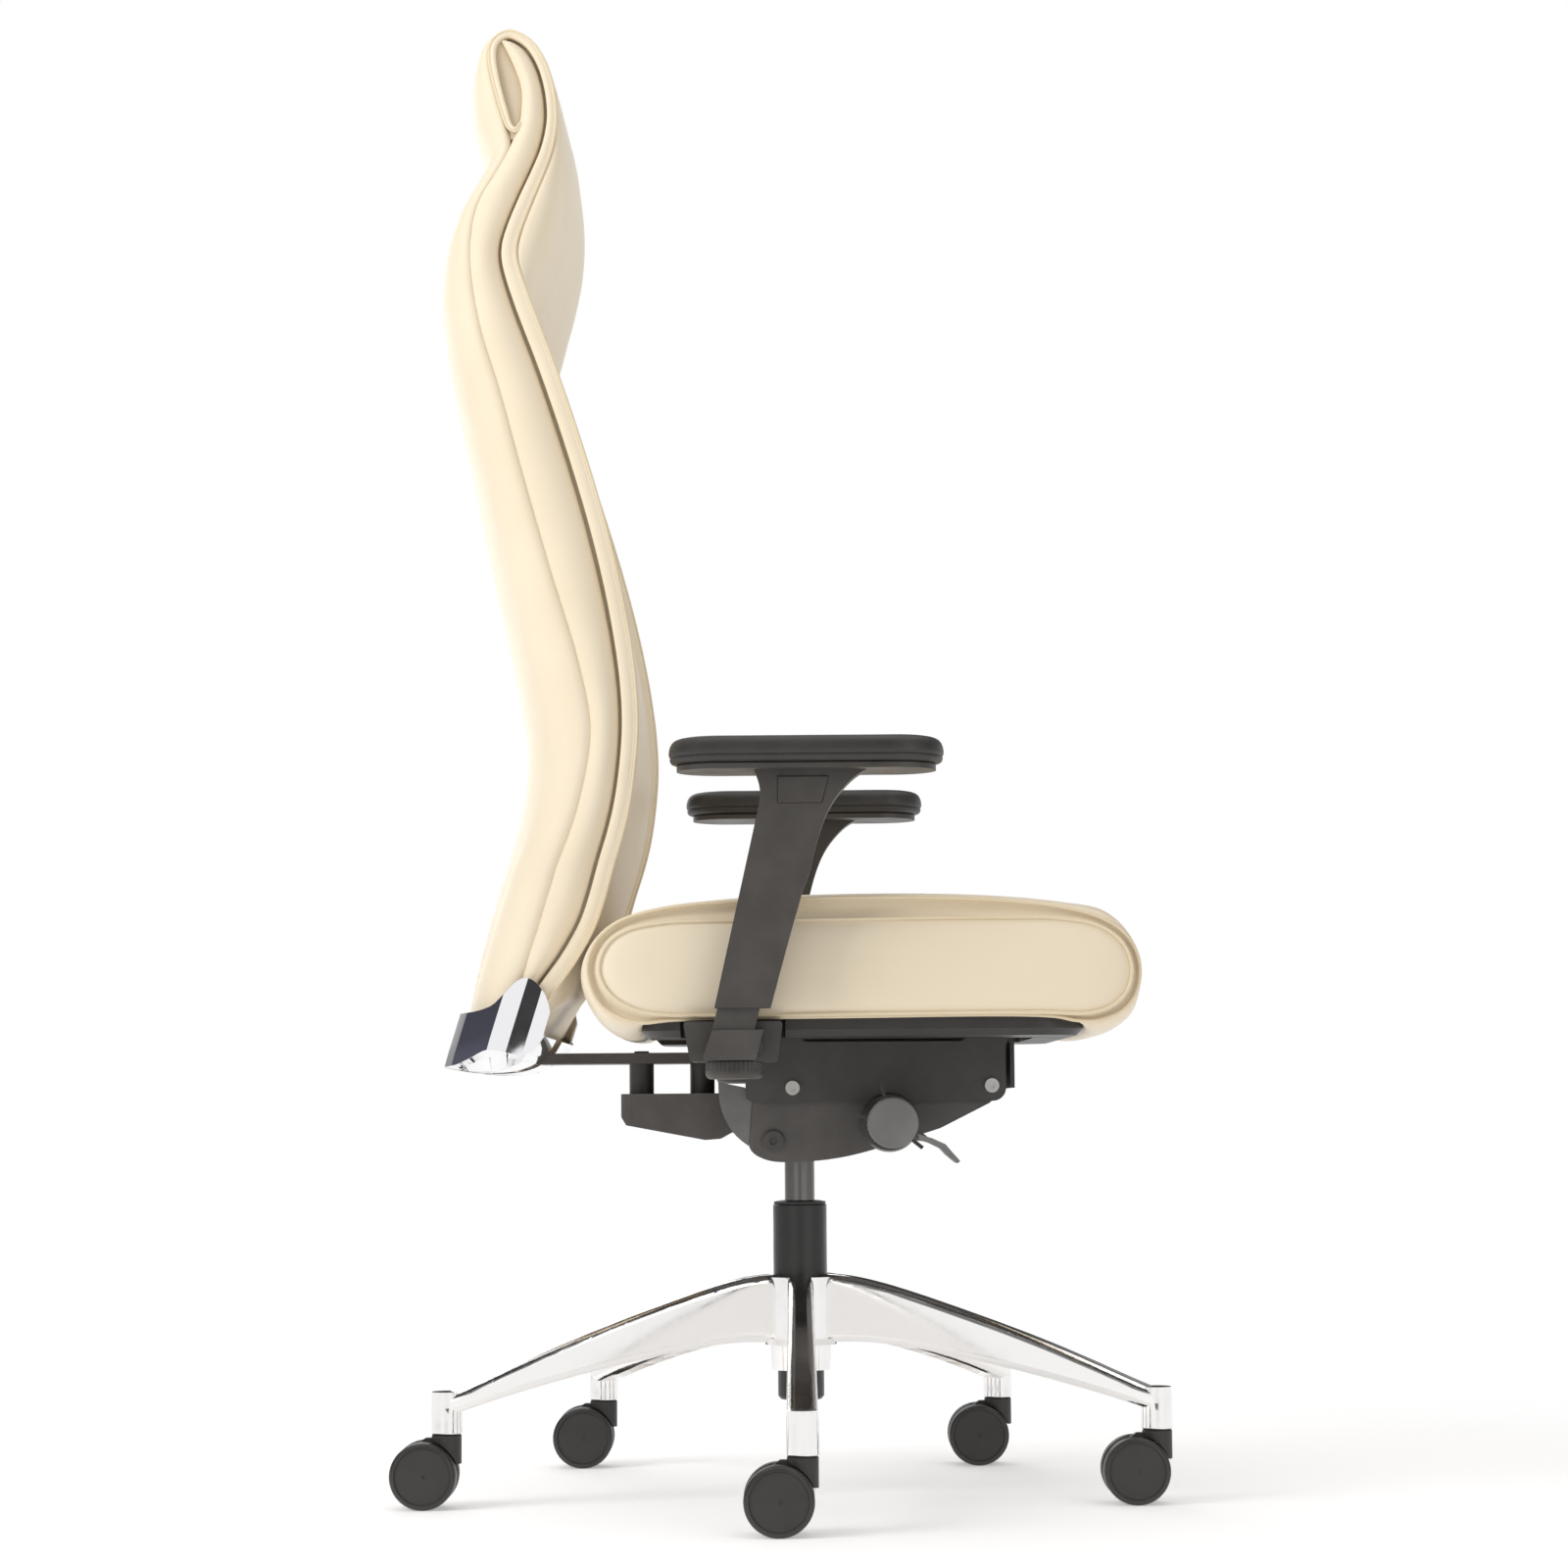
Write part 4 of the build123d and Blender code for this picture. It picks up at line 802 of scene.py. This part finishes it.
def make_floor():
    mesh = bpy.data.meshes.new("floor")
    corners = [(x * FLOOR_HALF, y * FLOOR_HALF, 0) for x, y in ((-1, -1), (1, -1), (1, 1), (-1, 1))]
    mesh.from_pydata(corners, [], [(0, 1, 2, 3)])
    floor = bpy.data.objects.new("floor", mesh)
    bpy.context.scene.collection.objects.link(floor)
    material, nodes, links, shader = new_material("floor_white")
    shader.inputs["Base Color"].default_value = (0.80, 0.79, 0.785, 1)
    shader.inputs["Roughness"].default_value = 0.85
    shader.inputs["Specular IOR Level"].default_value = 0.1
    shader.inputs["Emission Color"].default_value = (1, 1, 1, 1)
    shader.inputs["Emission Strength"].default_value = 0.34
    source = nodes.new("ShaderNodeTexCoord")
    reach = nodes.new("ShaderNodeVectorMath")
    reach.operation = "LENGTH"
    links.new(source.outputs["Object"], reach.inputs[0])
    fade = nodes.new("ShaderNodeMapRange")
    fade.interpolation_type = "SMOOTHSTEP"
    fade.inputs["From Min"].default_value = FLOOR_FADE[0]
    fade.inputs["From Max"].default_value = FLOOR_FADE[1]
    links.new(reach.outputs["Value"], fade.inputs["Value"])
    glow = nodes.new("ShaderNodeEmission")
    glow.inputs["Strength"].default_value = 1.0
    blend = nodes.new("ShaderNodeMixShader")
    links.new(fade.outputs["Result"], blend.inputs["Fac"])
    links.new(shader.outputs["BSDF"], blend.inputs[1])
    links.new(glow.outputs["Emission"], blend.inputs[2])
    links.new(blend.outputs["Shader"], nodes["Material Output"].inputs["Surface"])
    mesh.materials.append(material)


def add_softbox(name, place_at, aim, size, power, mirrored=True):
    data = bpy.data.lights.new(name, "AREA")
    data.shape = "RECTANGLE"
    data.size, data.size_y = size
    data.energy = power
    light = bpy.data.objects.new(name, data)
    bpy.context.scene.collection.objects.link(light)
    light.location = place_at
    light.visible_glossy = mirrored
    light.rotation_euler = (Vector(aim) - Vector(place_at)).to_track_quat("-Z", "Y").to_euler()


def world_ramp(nodes, links, value, stops):
    """Colour ramp over one direction component, which runs from -1 to 1."""
    shift = nodes.new("ShaderNodeMapRange")
    shift.inputs["From Min"].default_value = -1
    links.new(value, shift.inputs["Value"])
    node = nodes.new("ShaderNodeValToRGB")
    elements = node.color_ramp.elements
    for index, (component, colour) in enumerate(stops):
        position = (component + 1) / 2
        element = elements[index] if index < 2 else elements.new(position)
        element.position = position
        element.color = (*colour, 1)
    links.new(shift.outputs["Result"], node.inputs["Fac"])
    return node.outputs["Color"]


# What metal sees by height and by direction along Y: bright walls, a dark band above, dark flags between.
# The ramp's two ends come first in each table.
HEIGHT_STOPS = (
    (-1.0, grey(0.7)), (1.0, grey(1.0)), (-0.2, grey(0.95)), (0.24, grey(1.0)), (0.34, grey(0.22)),
    (0.62, grey(0.14)), (0.8, grey(0.8)),
)
NAVY = (0.10, 0.10, 0.13)
SIDE_STOPS = (
    (-1.0, grey(0.25)), (1.0, NAVY), (-0.88, grey(0.3)), (-0.74, grey(1.0)), (-0.35, grey(1.0)),
    (-0.16, grey(0.06)), (0.14, grey(0.05)), (0.24, grey(1.0)), (0.60, grey(1.0)), (0.67, grey(0.35)),
    (0.84, NAVY),
)


def make_world():
    """White behind the chair, an even soft dome for its light, and banded walls for the metal to reflect."""
    world = bpy.data.worlds.new("studio")
    bpy.context.scene.world = world
    world.use_nodes = True
    nodes, links = world.node_tree.nodes, world.node_tree.links
    nodes.clear()
    source = nodes.new("ShaderNodeTexCoord")
    split = nodes.new("ShaderNodeSeparateXYZ")
    links.new(source.outputs["Generated"], split.inputs["Vector"])
    product = nodes.new("ShaderNodeMix")
    product.data_type = "RGBA"
    product.blend_type = "MULTIPLY"
    product.inputs["Factor"].default_value = 1.0
    links.new(world_ramp(nodes, links, split.outputs["Z"], HEIGHT_STOPS), product.inputs["A"])
    links.new(world_ramp(nodes, links, split.outputs["Y"], SIDE_STOPS), product.inputs["B"])
    mirrored = nodes.new("ShaderNodeBackground")
    links.new(product.outputs["Result"], mirrored.inputs["Color"])
    even_light = nodes.new("ShaderNodeBackground")
    even_light.inputs["Color"].default_value = (1.0, 0.99, 0.98, 1)
    even_light.inputs["Strength"].default_value = DOME_STRENGTH
    seen = nodes.new("ShaderNodeBackground")
    seen.inputs["Color"].default_value = (1, 1, 1, 1)
    path = nodes.new("ShaderNodeLightPath")
    for_gloss = nodes.new("ShaderNodeMixShader")
    links.new(path.outputs["Is Glossy Ray"], for_gloss.inputs["Fac"])
    links.new(even_light.outputs["Background"], for_gloss.inputs[1])
    links.new(mirrored.outputs["Background"], for_gloss.inputs[2])
    for_camera = nodes.new("ShaderNodeMixShader")
    links.new(path.outputs["Is Camera Ray"], for_camera.inputs["Fac"])
    links.new(for_gloss.outputs["Shader"], for_camera.inputs[1])
    links.new(seen.outputs["Background"], for_camera.inputs[2])
    out = nodes.new("ShaderNodeOutputWorld")
    links.new(for_camera.outputs["Shader"], out.inputs["Surface"])


def make_studio():
    make_camera()
    make_floor()
    make_world()
    add_softbox("key_behind", (-1.6, 2.6, 2.0), (0, 0.1, 0.8), (1.6, 2.2), 60, mirrored=False)
    add_softbox("fill_front", (-2.6, -1.8, 1.6), (0, 0, 0.6), (1.6, 2.0), 12)
    add_softbox("overhead", (0.0, 0.0, 3.4), (0, 0, 0), (3.0, 3.0), 34)
    add_softbox("far_side", (2.4, 0.6, 1.6), (0, 0, 0.7), (1.6, 2.0), 16)
    bpy.context.scene.view_settings.view_transform = "Standard"


make_studio()
finish_cad_nodes()
make_back()
make_seat()
for side, _ in SIDES:
    make_arm_pad(side)
